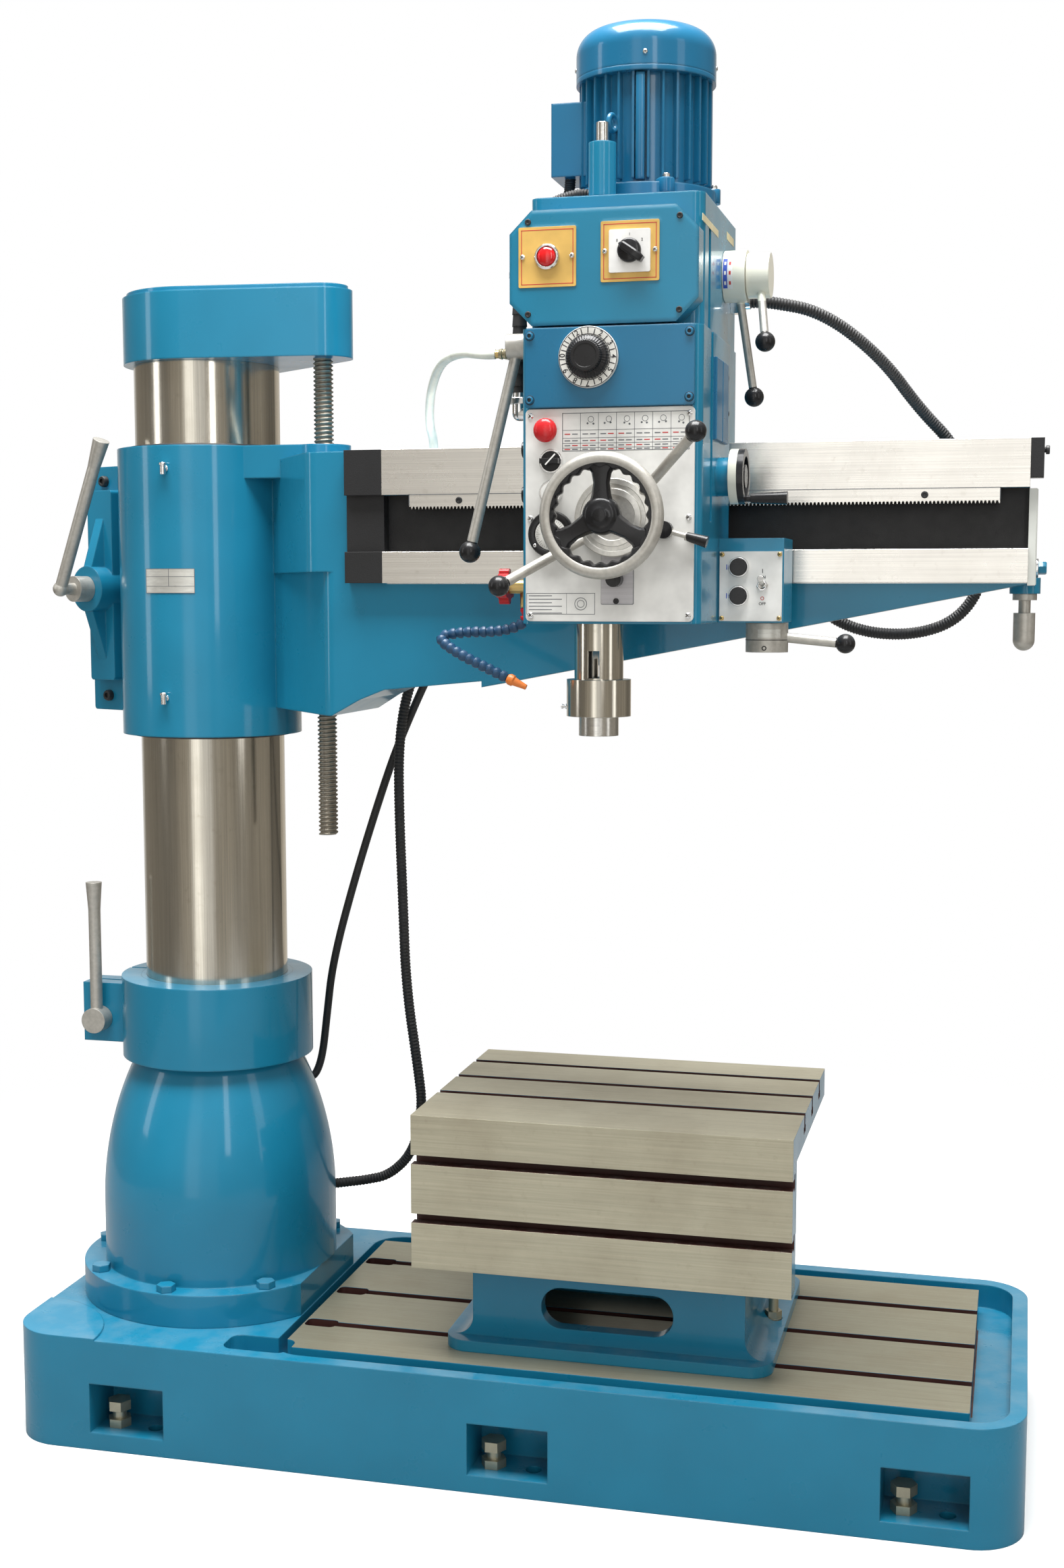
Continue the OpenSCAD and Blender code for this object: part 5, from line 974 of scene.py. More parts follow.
def makeLamp(spec):
    at = point(spec["x"], spec["y"], spec["z"])
    bm = bmesh.new()
    rings = []
    for s, r in spec["ring"]:
        cut = spec["tooth"] if 1 < s < 4 else 0
        rings.append(frontRing(at, s, spec["teeth"] * 2, lambda k, a: r - cut * (k % 2)))
    loftRings(bm, rings, closed=True)
    rim = meshPiece("lampRing", bm, "head", 30)
    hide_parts("lamp")
    dress(chromeFinish, rim)
    bm = bmesh.new()
    turned(bm, at, front, spec["lens"], 40)
    lensLook = moulded((0.62, 0.01, 0.012), rough=0.14, grain=0.02, dust=0.05, coat=0.8)
    dress(makeMaterial("lensFinish", lensLook), meshPiece("lampLens", bm, "head", 60))


def roundedOutline(x, z, halfX, halfZ, radius, steps=5):
    outline = []
    for cx, cz, start in ((1, 1, 0), (-1, 1, 90), (-1, -1, 180), (1, -1, 270)):
        for k in range(steps + 1):
            a = math.radians(start + 90 * k / steps)
            outline.append((x + cx * (halfX - radius) + radius * math.cos(a),
                            z + cz * (halfZ - radius) + radius * math.sin(a)))
    return outline


def makeSwitch(spec):
    x, z, y, thick = spec["x"], spec["z"], spec["y"], spec["thick"]
    bm = bmesh.new()
    shapeOn(bm, roundedOutline(x, z, spec["plate"], spec["plate"], 2), y, thick)
    plateLook = moulded((0.82, 0.82, 0.8), rough=0.3, grain=0.04, dust=0.06, edge=0.5)
    dress(makeMaterial("switchPlateFinish", plateLook), meshPiece("switchPlate", bm, "head"))
    bm = bmesh.new()
    for text, angle in spec["figures"]:
        d = around(math.radians(angle))
        figuresOn(bm, text, point(x + 19 * d.x, y - thick - 0.02, z + 18 * d.z), right, top, 3)
    dress(blackInk, meshPiece("switchFigures", bm, "head"))
    bm = bmesh.new()
    at = point(x, y - thick - 0.3, z)
    turned(bm, at, front, spec["base"], 40)
    along, side = (around(math.radians(spec["turn"] + more)) for more in (0, 90))
    rings = []
    for s, half, low, high in spec["grip"]:
        section = ((-1, low), (1, low), (1, high - 1.4), (0.62, high), (-0.62, high), (-1, high - 1.4))
        rings.append([at + (along * s + side * (half * t) + front * h) * mm for t, h in section])
    loftRings(bm, rings)
    knob = meshPiece("switchKnob", bm, "main_switch", 35)
    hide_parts("main_switch")
    dress(knobFinish, knob)


def makeSelectorMark(spec):
    bm = bmesh.new()
    lineOn(bm, *spec["ends"], spec["y"], spec["width"])
    look = moulded((0.8, 0.8, 0.78), rough=0.4, grain=0.03, dust=0.05, edge=0.1)
    dress(makeMaterial("pointerFinish", look), meshPiece("selectorMark", bm, "feed_selector"))


makeStop(stopSpec)
for bezel in bezels:
    makeBezel(bezel)
makeLamp(lampSpec)
makeSwitch(switchSpec)
makeSelectorMark(selectorSpec)
print("dials and buttons made")

# plain lines on the yellow plates and the white panel
signSpec = {"centres": ((626.5, 1592), (723.4, 1595)), "half": 30.4, "y": -471.2, "screw": 29.2}
chartSpec = {"low": (644.8, 1371.6), "high": (793.3, 1414.6), "y": -470, "columns": 7,
             "rows": (0.55, 0.34, 0.2, 0.08)}
noteSpec = {"low": (601.8, 1183.4), "high": (683.6, 1207.6), "rows": 6, "split": 48, "rings": (65, 12)}
# the depth plate's edge value is the width of the painted shadow round it
plateSpec = {"x": 710, "z": 1226.8, "half": (19, 31.4), "edge": 0.5, "corner": 1.5, "y": -470,
             "screw": (709, -470.2, 1198.6), "head": [(0, 3.4), (1.4, 3.4), (2, 2.8), (2, 1.4), (1, 1.3)]}


def makeSigns(spec):
    bm, heads, slots = bmesh.new(), bmesh.new(), bmesh.new()
    for x, z in spec["centres"]:
        h = spec["half"]
        frameOn(bm, (x - h, z - h), (x + h, z + h), spec["y"], 0.9)
        for side in (-1, 1):
            crossOn(heads, slots, point(x + side * spec["screw"], spec["y"], z + 0.6), front, 3, 1.9)
    dress(redInk, meshPiece("signBorders", bm, "head"))
    dress(chromeFinish, meshPiece("signScrews", heads, "head"))
    dress(darkFinish, meshPiece("signScrewSlots", slots, "head"))


def makeChart(spec, note):
    dark, red = bmesh.new(), bmesh.new()
    (x0, z0), (x1, z1), y = spec["low"], spec["high"], spec["y"]
    wide, high = x1 - x0, z1 - z0
    frameOn(dark, spec["low"], spec["high"], y, 0.8)
    levels = [z0 + high * s for s in spec["rows"]]
    for z in levels:
        lineOn(dark, (x0, z), (x1, z), y, 0.55)
    step = wide / spec["columns"]
    for k in range(1, spec["columns"]):
        lineOn(dark, (x0 + k * step, z0), (x0 + k * step, z1), y, 0.55)
        cx, cz = x0 + (k + 0.58) * step, z0 + high * 0.83
        circleOn(dark, cx, cz, y, 3.6, 0.6)
        for dx, dz in ((-3 - k % 3, -4.5), (2 + k % 2, -6 + k % 3)):
            dotOn(dark, cx + dx, cz + dz, y, 1.2)
    for k in range(spec["columns"]):
        for i, (a, b) in enumerate(zip(levels, levels[1:] + [z0])):
            for j in range(2):
                left, z = x0 + k * step + step * (0.14 + 0.42 * j), (a + b) / 2
                lineOn(red if (i + j + k) % 3 == 0 else dark, (left, z), (left + step * 0.26, z), y, 1.2)
    (x0, z0), (x1, z1) = note["low"], note["high"]
    frameOn(dark, note["low"], note["high"], y, 0.6)
    lineOn(dark, (x0 + note["split"], z0), (x0 + note["split"], z1), y, 0.35)
    for k in range(note["rows"]):
        z = z1 - (k + 0.7) * (z1 - z0) / note["rows"]
        lineOn(dark, (x0 + 3, z), (x0 + 30 + 12 * ((k * 3) % 2), z), y, 0.9)
    for radius, width in ((7.5, 0.8), (4.5, 0.7)):
        circleOn(dark, x0 + note["rings"][0], z0 + note["rings"][1], y, radius, width)
    dress(greyInk, meshPiece("panelLines", dark, "head"))
    dress(redInk, meshPiece("panelMarks", red, "head"))


def makeDepthPlate(spec):
    x, z, (halfX, halfZ), edge = spec["x"], spec["z"], spec["half"], spec["edge"]
    bm = bmesh.new()
    shapeOn(bm, roundedOutline(x, z, halfX, halfZ, spec["corner"]), spec["y"], 0.35)
    greyPlate = makeMaterial("depthPlateFinish", metal((0.5, 0.49, 0.51), rough=0.4, soil=0.1, metallic=0.2))
    dress(greyPlate, meshPiece("depthPlate", bm, "head"))
    # painted shadow: a grey rim, shifted right and down, shows round the plate's right and lower edges
    bm = bmesh.new()
    shapeOn(bm, roundedOutline(x + 0.3, z - 0.3, halfX + edge, halfZ + edge, spec["corner"]), spec["y"], 0.15)
    dress(greyInk, meshPiece("depthPlateShadow", bm, "head"))
    bm = bmesh.new()
    turned(bm, point(*spec["screw"]), front, spec["head"], 20)
    dress(darkFinish, meshPiece("depthPlateScrew", bm, "head"))


makeSigns(signSpec)
makeChart(chartSpec, noteSpec)
makeDepthPlate(plateSpec)
print("plates drawn")

# elevation box
elevationSpec = {"y": -332, "screws": ((811.6, 1177.6), (881.4, 1177.6), (811.6, 1254.4), (881.4, 1254.4)),
                 "toggle": (860.9, 1216.9), "marks": (817.2, (1239.3, 1204.6))}


def makeElevationFace(spec):
    heads, slots = bmesh.new(), bmesh.new()
    y = spec["y"]
    for x, z in spec["screws"]:
        crossOn(heads, slots, point(x, y, z), front, 2.9, 1.8)
    dress(makeMaterial("boxScrewFinish", brass), meshPiece("boxScrews", heads, "head"))
    dress(darkFinish, meshPiece("boxScrewSlots", slots, "head"))
    x, z = spec["toggle"]
    bm = bmesh.new()
    turnedRing(bm, point(x, y, z), front, [(0, 4.4), (0, 7.2), (2.2, 7.2), (2.6, 6.6), (2.6, 4.4)], 6)
    turnedRing(bm, point(x, y, z), front, [(0, 4.3), (0, 5.6), (4.6, 5.6), (5, 5.2), (5, 4.3)], 24)
    dress(chromeFinish, meshPiece("toggleNut", bm, "head"))
    dark, blue, red = bmesh.new(), bmesh.new(), bmesh.new()
    for text, rise in (("ON", 10), ("OFF", -22)):
        figuresOn(dark, text, point(x, y - 0.05, z + rise), right, top, 3.4)
    lineOn(dark, (x, z + 15.4), (x, z + 19.6), y, 0.9)
    circleOn(red, x, z - 15.4, y, 2.2, 0.7)
    left, heights = spec["marks"]
    for mark in heights:
        lineOn(blue, (left, mark - 2.6), (left, mark + 2.6), y, 1.1)
    dress(blackInk, meshPiece("switchWords", dark, "head"))
    dress(blueInk, meshPiece("buttonMarks", blue, "head"))
    dress(redInk, meshPiece("offMark", red, "head"))


makeElevationFace(elevationSpec)
print("elevation box detailed")


# curved plates on round parts
def patchOn(bm, axis, radius, angles, heights, thick=0.5, steps=14):
    # a patch on an upright cylinder, between two angles in degrees and two heights in mm
    rings = []
    for k in range(steps + 1):
        d = outward(angles[0] + (angles[1] - angles[0]) * k / steps)
        corners = ((radius - 0.5, heights[0]), (radius + thick, heights[0]), (radius + thick, heights[1]),
                   (radius - 0.5, heights[1]))
        rings.append([point(axis[0] + r * d.x, axis[1] + r * d.y, z) for r, z in corners])
    loftRings(bm, rings)


# barrel: plain plate with cells, two oilers, two wipers
barrelSpec = {"radius": 131, "plate": ((-110, -76.5), (1208, 1242)), "cells": (1231, 1217.5), "split": -93.2,
              "oilers": ((-94, 1382), (-96.5, 1059)), "low": 1003, "high": 1415,
              "cup": [(0, 3.2), (0.8, 4.2), (13, 4.2), (13.4, 5.4), (16.4, 5.4), (17.2, 4.6), (17.4, 0.2)],
              "wiper": [(0, 106), (0, 118), (2.5, 117), (3.5, 112), (3.5, 106)]}


def makeBarrelFittings(spec):
    angles, heights = spec["plate"]
    bm, lines = bmesh.new(), bmesh.new()
    patchOn(bm, (0, 0), spec["radius"], angles, heights, 0.5, 20)
    dress(plainPlate, meshPiece("barrelPlate", bm, "arm", 60))
    r = spec["radius"] + 0.5
    for z in heights + spec["cells"]:
        patchOn(lines, (0, 0), r, angles, (z - 0.35, z + 0.35), 0.1, 20)
    for a, low in ((angles[0], heights[0]), (spec["split"], spec["cells"][1]), (angles[1], heights[0])):
        patchOn(lines, (0, 0), r, (a - 0.16, a + 0.16), (low, heights[1]), 0.1, 1)
    dress(greyInk, meshPiece("barrelPlateLines", lines, "arm", 60))
    bm = bmesh.new()
    for angle, z in spec["oilers"]:
        out = outward(angle)
        root = point(0, 0, z) + out * (spec["radius"] * mm)
        turned(bm, root, out, [(-1, 4.6), (1.5, 4.6), (2, 3), (9, 3)], 20)
        turned(bm, root + out * (7 * mm) - top * (9 * mm), top, spec["cup"], 20)
    dress(chromeFinish, meshPiece("barrelOilers", bm, "arm"))
    bm = bmesh.new()
    for start, way in ((spec["low"], -1), (spec["high"], 1)):
        turnedRing(bm, point(0, 0, start), top * way, spec["wiper"], 72)
    dress(makeMaterial("wiperFinish", rubber), meshPiece("columnWipers", bm, "arm"))


# arm end: pale cover, blue plug with its washer, knob on the corner block
armEndSpec = {"x": 1172, "cover": ((-222, 1217), (-100, 1335)), "steps": ((-0.5, 0), (8.5, 0), (10, 1.5)),
              "plug": (-150, 1239), "washer": [(0, 12), (2.6, 12), (3.2, 11.2), (3.2, 7)],
              "head": [(0, 8.4), (9, 8.4), (10.4, 7.2), (10.4, 4), (8, 3.6)], "knobAt": (1187.4, -220, 1381),
              "knob": [(0, 3.4), (2, 3.4), (2.4, 5.4), (6, 5.4), (6.8, 4.6), (6.8, 0.2)]}


def makeArmEnd(spec):
    x = spec["x"]
    bm = bmesh.new()
    slabOn(bm, x, *spec["cover"], spec["steps"])
    palePaint = paint((0.66, 0.68, 0.64), (0.5, 0.5, 0.46), wear=0.35, peel=0.08, edge=1.0)
    dress(makeMaterial("endCoverFinish", palePaint), meshPiece("endCover", bm, "arm"))
    y, z = spec["plug"]
    bm = bmesh.new()
    turned(bm, point(x + 9.5, y, z), right, spec["washer"], 32)
    dress(chromeFinish, meshPiece("plugWasher", bm, "arm"))
    bm = bmesh.new()
    turned(bm, point(x + 12.4, y, z), right, spec["head"], 6)
    dress(makeMaterial("plugFinish", bluePaint), meshPiece("plugHead", bm, "arm"))
    bm = bmesh.new()
    turned(bm, point(*spec["knobAt"]), right, spec["knob"], 20)
    dress(darkFinish, meshPiece("blockKnob", bm, "arm"))


makeBarrelFittings(barrelSpec)
makeArmEnd(armEndSpec)
print("barrel and arm end detailed")

# motor: broad rib, feet with bolts, cover screws, conduits
motorSpec = {"x": 711, "y": -315, "z": 1665, "flange": 21, "core": 71, "fins": 80, "top": 1819, "fan": 84,
             "rib": -84, "screws": (-80, 10, 190, 100), "feet": (-62, -118, 8, 172, 62, 118),
             "foot": [(9, 10), (10, 11), (24, 11), (26, 9)],
             "footShares": [(74, -1), (85, -0.9), (89, -0.6), (90.5, 0), (89, 0.6), (85, 0.9), (74, 1)]}
conduitSpecs = [
    {"name": "motorConduit", "radius": 7, "ribs": 16,
     "route": [(621, -330, 1706), (620, -330, 1690), (618, -336, 1676), (616, -340, 1660)]},
    {"name": "archConduit", "radius": 7, "ribs": 42,
     "route": [(586, -400, 1612), (588, -402, 1634), (598, -404, 1654), (620, -404, 1667), (646, -402, 1674),
               (664, -400, 1673), (675, -398, 1658)]},
]


def makeMotorFittings(spec):
    axis = point(spec["x"], spec["y"], 0)
    rib, steel, lugs, sockets = (bmesh.new() for k in range(4))
    low, high, core, fins = spec["z"] + spec["flange"], spec["top"], spec["core"] - 2, spec["fins"]
    d = outward(spec["rib"])
    side = top.cross(d)
    rings = []
    for z, grow in ((low + 4, 0), (low + 8, 1), (high - 12, 1), (high - 8, 0)):
        section = ((core, -5.4), (fins + grow, -5.2), (fins + 1 + grow, -3.8), (fins + 1 + grow, 3.8),
                   (fins + grow, 5.2), (core, 5.4))
        rings.append([axis + (d * r + side * t + top * z) * mm for r, t in section])
    loftRings(rib, rings)
    for angle in spec["feet"]:
        d = outward(angle)
        side = top.cross(d)
        loftRings(lugs, [[axis + (d * r + side * (wide * t) + top * (spec["z"] + rise)) * mm
                          for r, t in spec["footShares"]] for rise, wide in spec["foot"]])
        headOn(steel, sockets, axis + (d * 82 + top * (spec["z"] + 26)) * mm, top, 4.6, 5)
    for angle in spec["screws"]:
        d = outward(angle)
        crossOn(steel, sockets, axis + (d * (spec["fan"] - 0.4) + top * (high + 14)) * mm, d, 3, 2)
    # the rib and feet take the motor's finish, with its painted shade
    motor = nodes["drive_motor"].data.materials[0]
    dress(motor, meshPiece("motorRib", rib, "head"), meshPiece("motorFeet", lugs, "head"))
    dress(makeMaterial("motorBoltFinish", brightSteel), meshPiece("motorBolts", steel, "head"))
    dress(darkFinish, meshPiece("motorBoltSockets", sockets, "head"))


def makeMotorConduits(specs):
    finish = makeMaterial("motorConduitFinish", rubber)
    for spec in specs:
        p = spreadRoute(smoothRoute([point(*q) for q in spec["route"]]), spec["ribs"] * ribRings + 1)[0]
        bm = bmesh.new()
        loftRings(bm, ringsAlong(p, lambda i: spec["radius"] * mm * ribSize(i)))
        dress(finish, meshPiece(spec["name"], bm, "head"))


makeMotorFittings(motorSpec)
makeMotorConduits(conduitSpecs)

# speed hub: scale strip; head lock: plain plate, set screw and groove; labels on the head's right side
hubSpec = {"x": 802.8, "y": -271, "z": 1593, "radius": 31, "marks": (-22, 0, 22)}
lockSpec = {"axis": (862.5, -296), "radius": 26, "plate": ((-108, -44), (1153.6, 1164)),
            "screw": 1141, "groove": 1150.4}
labelSpec = {"x": 802, "thick": 0.9, "boxes": (((-446, 1630), (-330, 1638)), ((-262, 1640), (-206, 1649)))}


def makeHubScale(spec):
    white, blue, red = bmesh.new(), bmesh.new(), bmesh.new()
    centre = point(0, spec["y"], spec["z"])

    def strip(bm, x0, x1, a0, a1, lift, steps=10):
        low, high = spec["radius"] - 0.5, spec["radius"] + lift
        rings = []
        for k in range(steps + 1):
            a = math.radians(a0 + (a1 - a0) * k / steps)
            d = Vector((0, -math.cos(a), math.sin(a)))
            rings.append([centre + (d * r + right * x) * mm
                          for r, x in ((low, x0), (high, x0), (high, x1), (low, x1))])
        loftRings(bm, rings)
    x = spec["x"]
    strip(white, x + 1, x + 13, -36, 36, 0.15)
    strip(blue, x + 1.4, x + 6.6, -34, 34, 0.25)
    for a in spec["marks"]:
        strip(white, x + 2.8, x + 5.2, a - 4, a + 4, 0.35, 3)
        strip(red, x + 8.6, x + 11, a - 4, a + 4, 0.25, 3)
    dress(nodes["front_panel"].data.materials[0], meshPiece("hubScale", white, "inner_speed_lever"))
    dress(blueInk, meshPiece("hubScaleBlue", blue, "inner_speed_lever"))
    dress(redInk, meshPiece("hubScaleRed", red, "inner_speed_lever"))


def makeLockFittings(spec):
    bm, dark = bmesh.new(), bmesh.new()
    (x, y), radius = spec["axis"], spec["radius"]
    patchOn(bm, spec["axis"], radius, *spec["plate"], 0.3, 12)
    dress(plainPlate, meshPiece("lockPlate", bm, "head_lock_lever", 60))
    turned(dark, point(x, y - radius + 0.4, spec["screw"]), front,
           [(0, 3), (0.8, 3), (0.8, 1.8), (0.2, 1.6)], 20)
    # painted shade: the groove is a dark band standing on the hub, not cut into it
    low, high = radius - 0.2, radius + 0.2
    turnedRing(dark, point(x, y, spec["groove"]), top, [(0, low), (0, high), (0.9, high), (0.9, low)], 56)
    dress(darkFinish, meshPiece("lockScrewAndGrooveShade", dark, "head_lock_lever"))


def makeSideLabels(spec):
    bm = bmesh.new()
    for low, high in spec["boxes"]:
        slabOn(bm, spec["x"], low, high, ((0, 0), (spec["thick"], 0)))
    look = moulded((0.66, 0.58, 0.36), rough=0.4, grain=0.05, dust=0.1, edge=0.2)
    dress(makeMaterial("sideLabelFinish", look), meshPiece("sideLabels", bm, "head"))


makeHubScale(hubSpec)
makeLockFittings(lockSpec)
makeSideLabels(labelSpec)
print("motor, hubs and labels detailed")


# arm screws: black heads in the rack, right of one x, and on the bracket, left of another
armScrewSpec = {"rack": 300, "rackHead": (4.4, 1.4), "bracket": -140, "bracketHead": (8.2, 8), "sunk": 4,
                "bracketWay": (-0.399, -0.917, 0)}


def makeArmScrews(spec):
    heads, sockets = bmesh.new(), bmesh.new()
    way = Vector(spec["bracketWay"])
    for low, high in islands("arm_screws"):
        x, y, z = (low + high) / 2
        if x > spec["rack"]:
            headOn(heads, sockets, point(x, high.y, z), front, *spec["rackHead"])
        elif x < spec["bracket"]:
            headOn(heads, sockets, point(x, y, z) - way * (spec["sunk"] * mm), way, *spec["bracketHead"])
    piece = meshPiece("armScrewHeads", heads, "arm")
    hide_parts("arm_screws")
    dress(darkFinish, piece, meshPiece("armScrewSockets", sockets, "arm"))


# capstan flange with turned steps, and the grease nipple on the quill's collar
flangeSpec = {"at": (709, -490.8, 1294), "nippleAt": (626, -362, 1069),
              "steps": [(0, 44.4), (1.6, 44), (1.8, 38.6), (0.5, 38), (0.5, 33.4), (2.4, 32.8), (2.6, 26.4),
                        (1.0, 25.8), (1.0, 21)],
              "nipple": [(-0.5, 3.2), (2, 3.2), (2.5, 2), (5, 2), (5.6, 2.8), (7.4, 2.8), (8, 1.4)]}


def makeFlangeSteps(spec):
    bm = bmesh.new()
    turned(bm, point(*spec["at"]), front, spec["steps"], 72)
    look = metal((0.74, 0.73, 0.69), stretch=(200, 40, 200), rough=0.3, soil=0.08, metallic=0.8, edge=0.4)
    dress(makeMaterial("flangeFinish", look), meshPiece("capstanSteps", bm, "capstan", 25))
    bm = bmesh.new()
    turned(bm, point(*spec["nippleAt"]), -right, spec["nipple"], 20)
    dress(chromeFinish, meshPiece("collarNipple", bm, "quill"))


# hose fitting on the head: second nut, sleeve and barbs
barbSpec = {"at": (580, -348, 1499), "nut": (16, 9.4, 10),
            "sleeve": [(0, 5), (1, 7.2), (7, 7.2), (8, 5.6), (14, 5.6)],
            "barbs": [(26, 5.4), (27.5, 7.4), (33, 7.4), (34, 6), (35, 6.8), (39, 5.6), (40, 6.8), (44, 5.6)]}


def makeBarb(spec):
    out = -right
    at = point(*spec["at"])
    bm = bmesh.new()
    turned(bm, at, out, spec["sleeve"])
    start, radius, length = spec["nut"]
    turned(bm, at, out, [(start, radius * 0.9), (start + 1, radius), (start + length - 1, radius),
                         (start + length, radius * 0.9)], 6)
    turned(bm, at, out, spec["barbs"])
    look = metal((0.5, 0.45, 0.3), stretch=(90, 90, 90), rough=0.32, soil=0.25, metallic=0.85, edge=0.5)
    dress(makeMaterial("barbFinish", look), meshPiece("hoseBarb", bm, "head"))


# joint lines of the rack on the way, and the strip on the head's right side
rackLineSpec = {"x": (383, 1137), "z": (1322, 1336), "y": -235, "width": 0.9}
stripSpec = {"x": 806.4, "y": (-380, -288), "z": (1389, 1485), "groove": -334,
             "steps": ((-0.4, 0), (3.4, 0), (4.4, 1)), "slots": ((-261, 1472), (-258, 1429))}


def makeWayLines(spec):
    bm = bmesh.new()
    (x0, x1), (z0, z1) = spec["x"], spec["z"]
    for a, b in (((x0, z1), (x1, z1)), ((x0, z0), (x0, z1)), ((x1, z0), (x1, z1))):
        lineOn(bm, a, b, spec["y"], spec["width"])
    dress(greyInk, meshPiece("rackLines", bm, "arm"))


def makeSideStrip(spec):
    bm, dark = bmesh.new(), bmesh.new()
    x, (z0, z1) = spec["x"], spec["z"]
    for y0, y1 in ((spec["y"][0], spec["groove"] - 2), (spec["groove"] + 2, spec["y"][1])):
        slabOn(bm, x, (y0, z0), (y1, z1), spec["steps"])
    for y, z in spec["slots"]:
        turned(dark, point(x - 0.3, y, z), right, [(0, 3), (0.6, 3), (0.6, 1.6), (0.4, 1.4)], 16)
    dress(makeMaterial("stripFinish", flatBlue), meshPiece("sideStrip", bm, "head"))
    dress(darkFinish, meshPiece("sideScrews", dark, "head"))


makeArmScrews(armScrewSpec)
makeFlangeSteps(flangeSpec)
makeBarb(barbSpec)
makeWayLines(rackLineSpec)
makeSideStrip(stripSpec)
print("screws, flange and barb detailed")

# cord finishes
clearHose = metal((0.84, 0.88, 0.8), stretch=(40, 40, 40), rough=0.3, soil=0.05, metallic=0.0)
for spec in cordSpecs:
    look = clearHose if spec is supplyHose else rubber
    dress(makeMaterial(spec["name"] + "Finish", look), cords[spec["name"]])


# floor, backdrop and light
stageSpec = {"size": 5.2, "tone": (0.86, 0.86, 0.85), "bounce": 0.36, "near": 1.0, "far": 2.3,
             "middle": (0.5, 0.0, 0.0)}
lightSpecs = [
    {"name": "keyLight", "place": (2.4, -4.0, 2.5), "aim": (0.4, 0, 1.0), "size": (0.5, 3.0), "power": 22},
    {"name": "sideLight", "place": (-3.6, -1.9, 2.2), "aim": (0.2, 0, 1.0), "size": (0.6, 2.8), "power": 20},
    {"name": "fillLight", "place": (4.0, -1.6, 2.0), "aim": (0.7, 0, 1.0), "size": (0.8, 2.8), "power": 12},
    {"name": "topLight", "place": (0.6, -0.7, 4.6), "aim": (0.6, 0, 0.8), "size": (3.0, 2.2), "power": 470},
]
# brightness of the room around the machine: share of the turn from west, and value
roomBands = [(0.0, 0.45), (0.08, 0.35), (0.13, 0.45), (0.17, 0.8), (0.208, 0.8), (0.224, 3.9), (0.25, 3.6),
             (0.262, 2.0), (0.3, 1.7), (0.315, 0.7), (0.39, 0.75), (0.41, 0.55), (0.58, 0.7), (0.63, 0.35),
             (0.69, 0.4), (0.72, 1.4), (0.87, 1.6), (0.9, 0.6), (1.0, 0.45)]


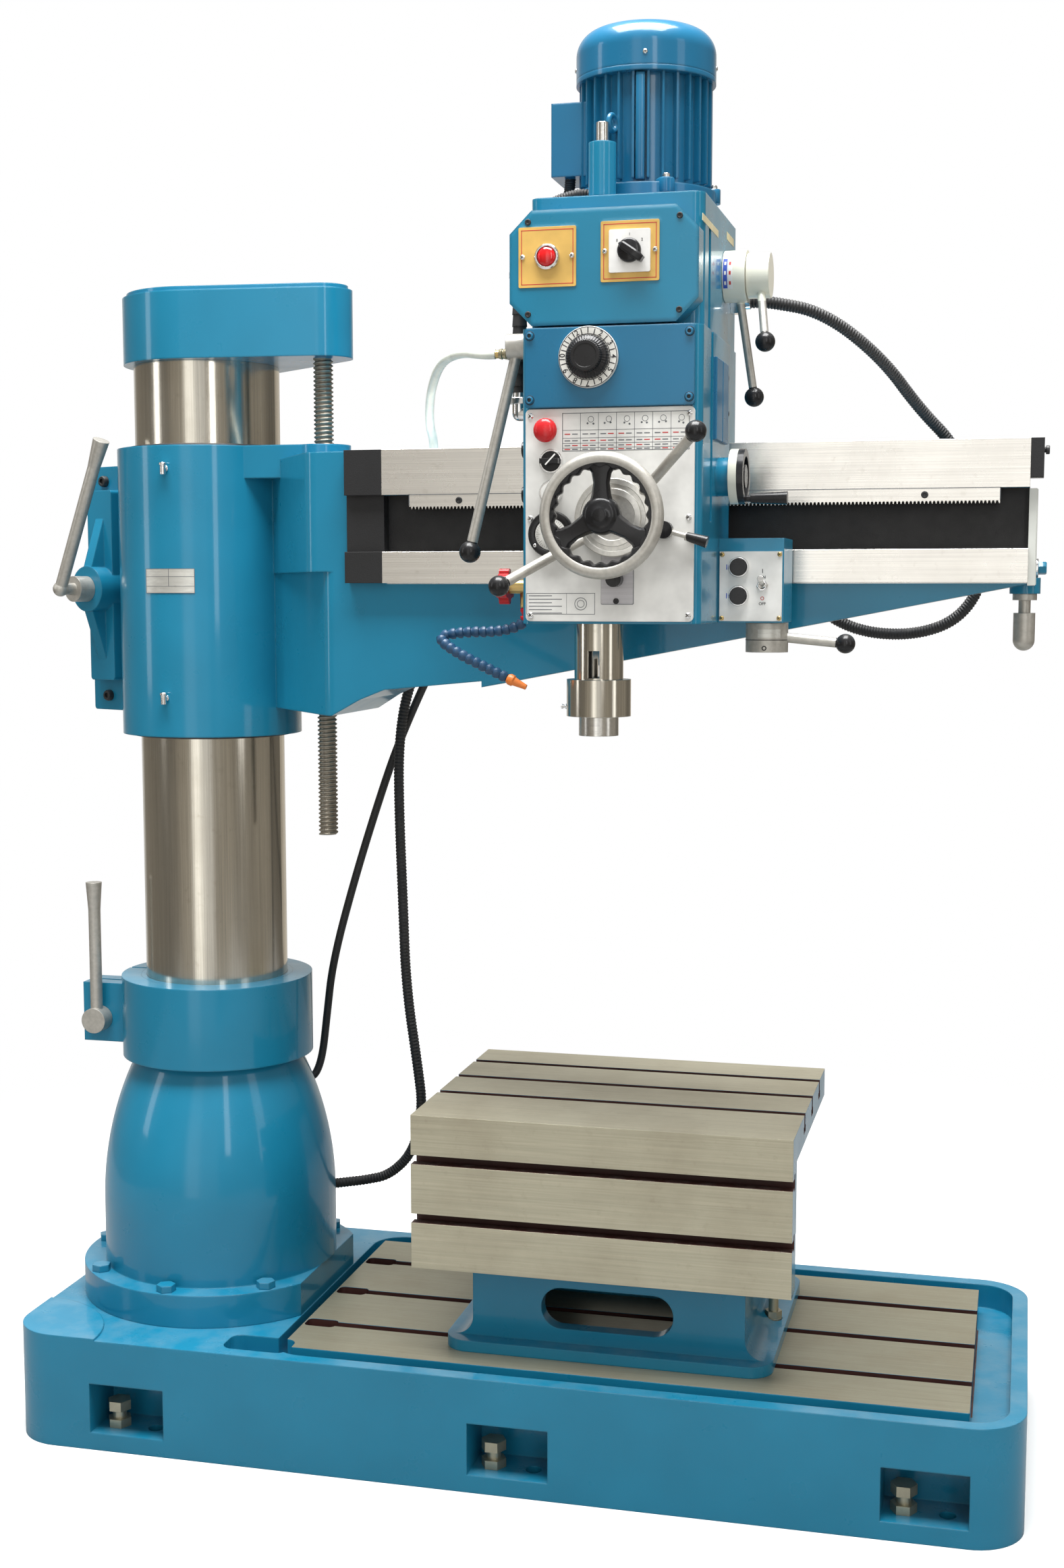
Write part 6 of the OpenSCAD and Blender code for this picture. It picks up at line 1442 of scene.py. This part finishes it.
def makeStage(spec):
    bm = bmesh.new()
    half = spec["size"] / 2
    corners = [bm.verts.new(Vector(spec["middle"]) + Vector((i * half, j * half, 0))) for i, j in square]
    bm.faces.new(corners)
    mesh = bpy.data.meshes.new("floor")
    bm.to_mesh(mesh)
    bm.free()
    floor = bpy.data.objects.new("floor", mesh)
    scene.collection.objects.link(floor)
    material = bpy.data.materials.new("floorFinish")
    material.use_nodes = True
    tree = material.node_tree
    tree.nodes.clear()
    where = put(tree, "ShaderNodeTexCoord").outputs["Object"]
    tone = spread(tree, noise(tree, where, 1.2, 4), 0.3, 0.7, 0.985, 1.015)
    direct = put(tree, "ShaderNodeLightPath").outputs["Is Camera Ray"]
    shade = vectors(tree, "SCALE", spec["tone"])
    level = spread(tree, direct, 0, 1, spec["bounce"], 1)
    tree.links.new(maths(tree, "MULTIPLY", tone, level), shade.inputs["Scale"])
    shader = put(tree, "ShaderNodeBsdfPrincipled", {"Base Color": shade.outputs[0], "Roughness": 0.75})
    white = put(tree, "ShaderNodeEmission", {"Color": col(1, 1, 1), "Strength": 1.0})
    offset = vectors(tree, "SUBTRACT", where, spec["middle"]).outputs[0]
    away = vectors(tree, "LENGTH", offset).outputs["Value"]
    fade = put(tree, "ShaderNodeMapRange", {"Value": away, "From Min": spec["near"], "From Max": spec["far"]},
               interpolation_type="SMOOTHSTEP").outputs[0]
    seen = maths(tree, "MULTIPLY", fade, direct)
    mixed = put(tree, "ShaderNodeMixShader", {0: seen, 1: shader.outputs[0], 2: white.outputs[0]})
    tree.links.new(mixed.outputs[0], put(tree, "ShaderNodeOutputMaterial").inputs["Surface"])
    mesh.materials.append(material)


def makeLights(specs):
    for spec in specs:
        data = bpy.data.lights.new(spec["name"], "AREA")
        data.shape = "RECTANGLE"
        data.size, data.size_y = spec["size"]
        data.energy = spec["power"]
        lamp = bpy.data.objects.new(spec["name"], data)
        lamp.location = spec["place"]
        aim = Vector(spec["aim"]) - Vector(spec["place"])
        lamp.rotation_euler = aim.to_track_quat("-Z", "Y").to_euler()
        scene.collection.objects.link(lamp)


def makeWorld(bands):
    world = bpy.data.worlds.new("studio")
    world.use_nodes = True
    scene.world = world
    tree = world.node_tree
    tree.nodes.clear()
    where = put(tree, "ShaderNodeTexCoord").outputs["Generated"]
    parts = put(tree, "ShaderNodeSeparateXYZ", {0: where}).outputs
    turn = maths(tree, "MULTIPLY_ADD", maths(tree, "ARCTAN2", parts[1], parts[0]), 0.5 / math.pi, 0.5)
    ramp = put(tree, "ShaderNodeValToRGB", {"Fac": turn})
    stops = ramp.color_ramp.elements
    while len(stops) < len(bands):
        stops.new(0.5)
    for stop, (place, value) in zip(stops, bands):
        stop.position = place
        warm = 1.0 if value < 1.5 else 0.0  # dim walls are warmer than the bright one
        stop.color = col(value, value * (0.985 - 0.085 * warm), value * (0.95 - 0.2 * warm))
    overhead = spread(tree, parts[2], 0.25, 0.8)
    sky = blendColours(tree, overhead, ramp.outputs[0], col(0.8, 0.82, 0.86))
    room = put(tree, "ShaderNodeBackground", {"Color": sky, "Strength": 0.44})
    seen = put(tree, "ShaderNodeBackground", {"Color": col(1, 1, 1), "Strength": 1.0})
    mixed = put(tree, "ShaderNodeMixShader", {0: put(tree, "ShaderNodeLightPath").outputs["Is Camera Ray"]})
    tree.links.new(room.outputs[0], mixed.inputs[1])
    tree.links.new(seen.outputs[0], mixed.inputs[2])
    tree.links.new(mixed.outputs[0], put(tree, "ShaderNodeOutputWorld").inputs["Surface"])


makeStage(stageSpec)
makeLights(lightSpecs)
makeWorld(roomBands)
scene.view_settings.view_transform = "Standard"
print("stage and light set")
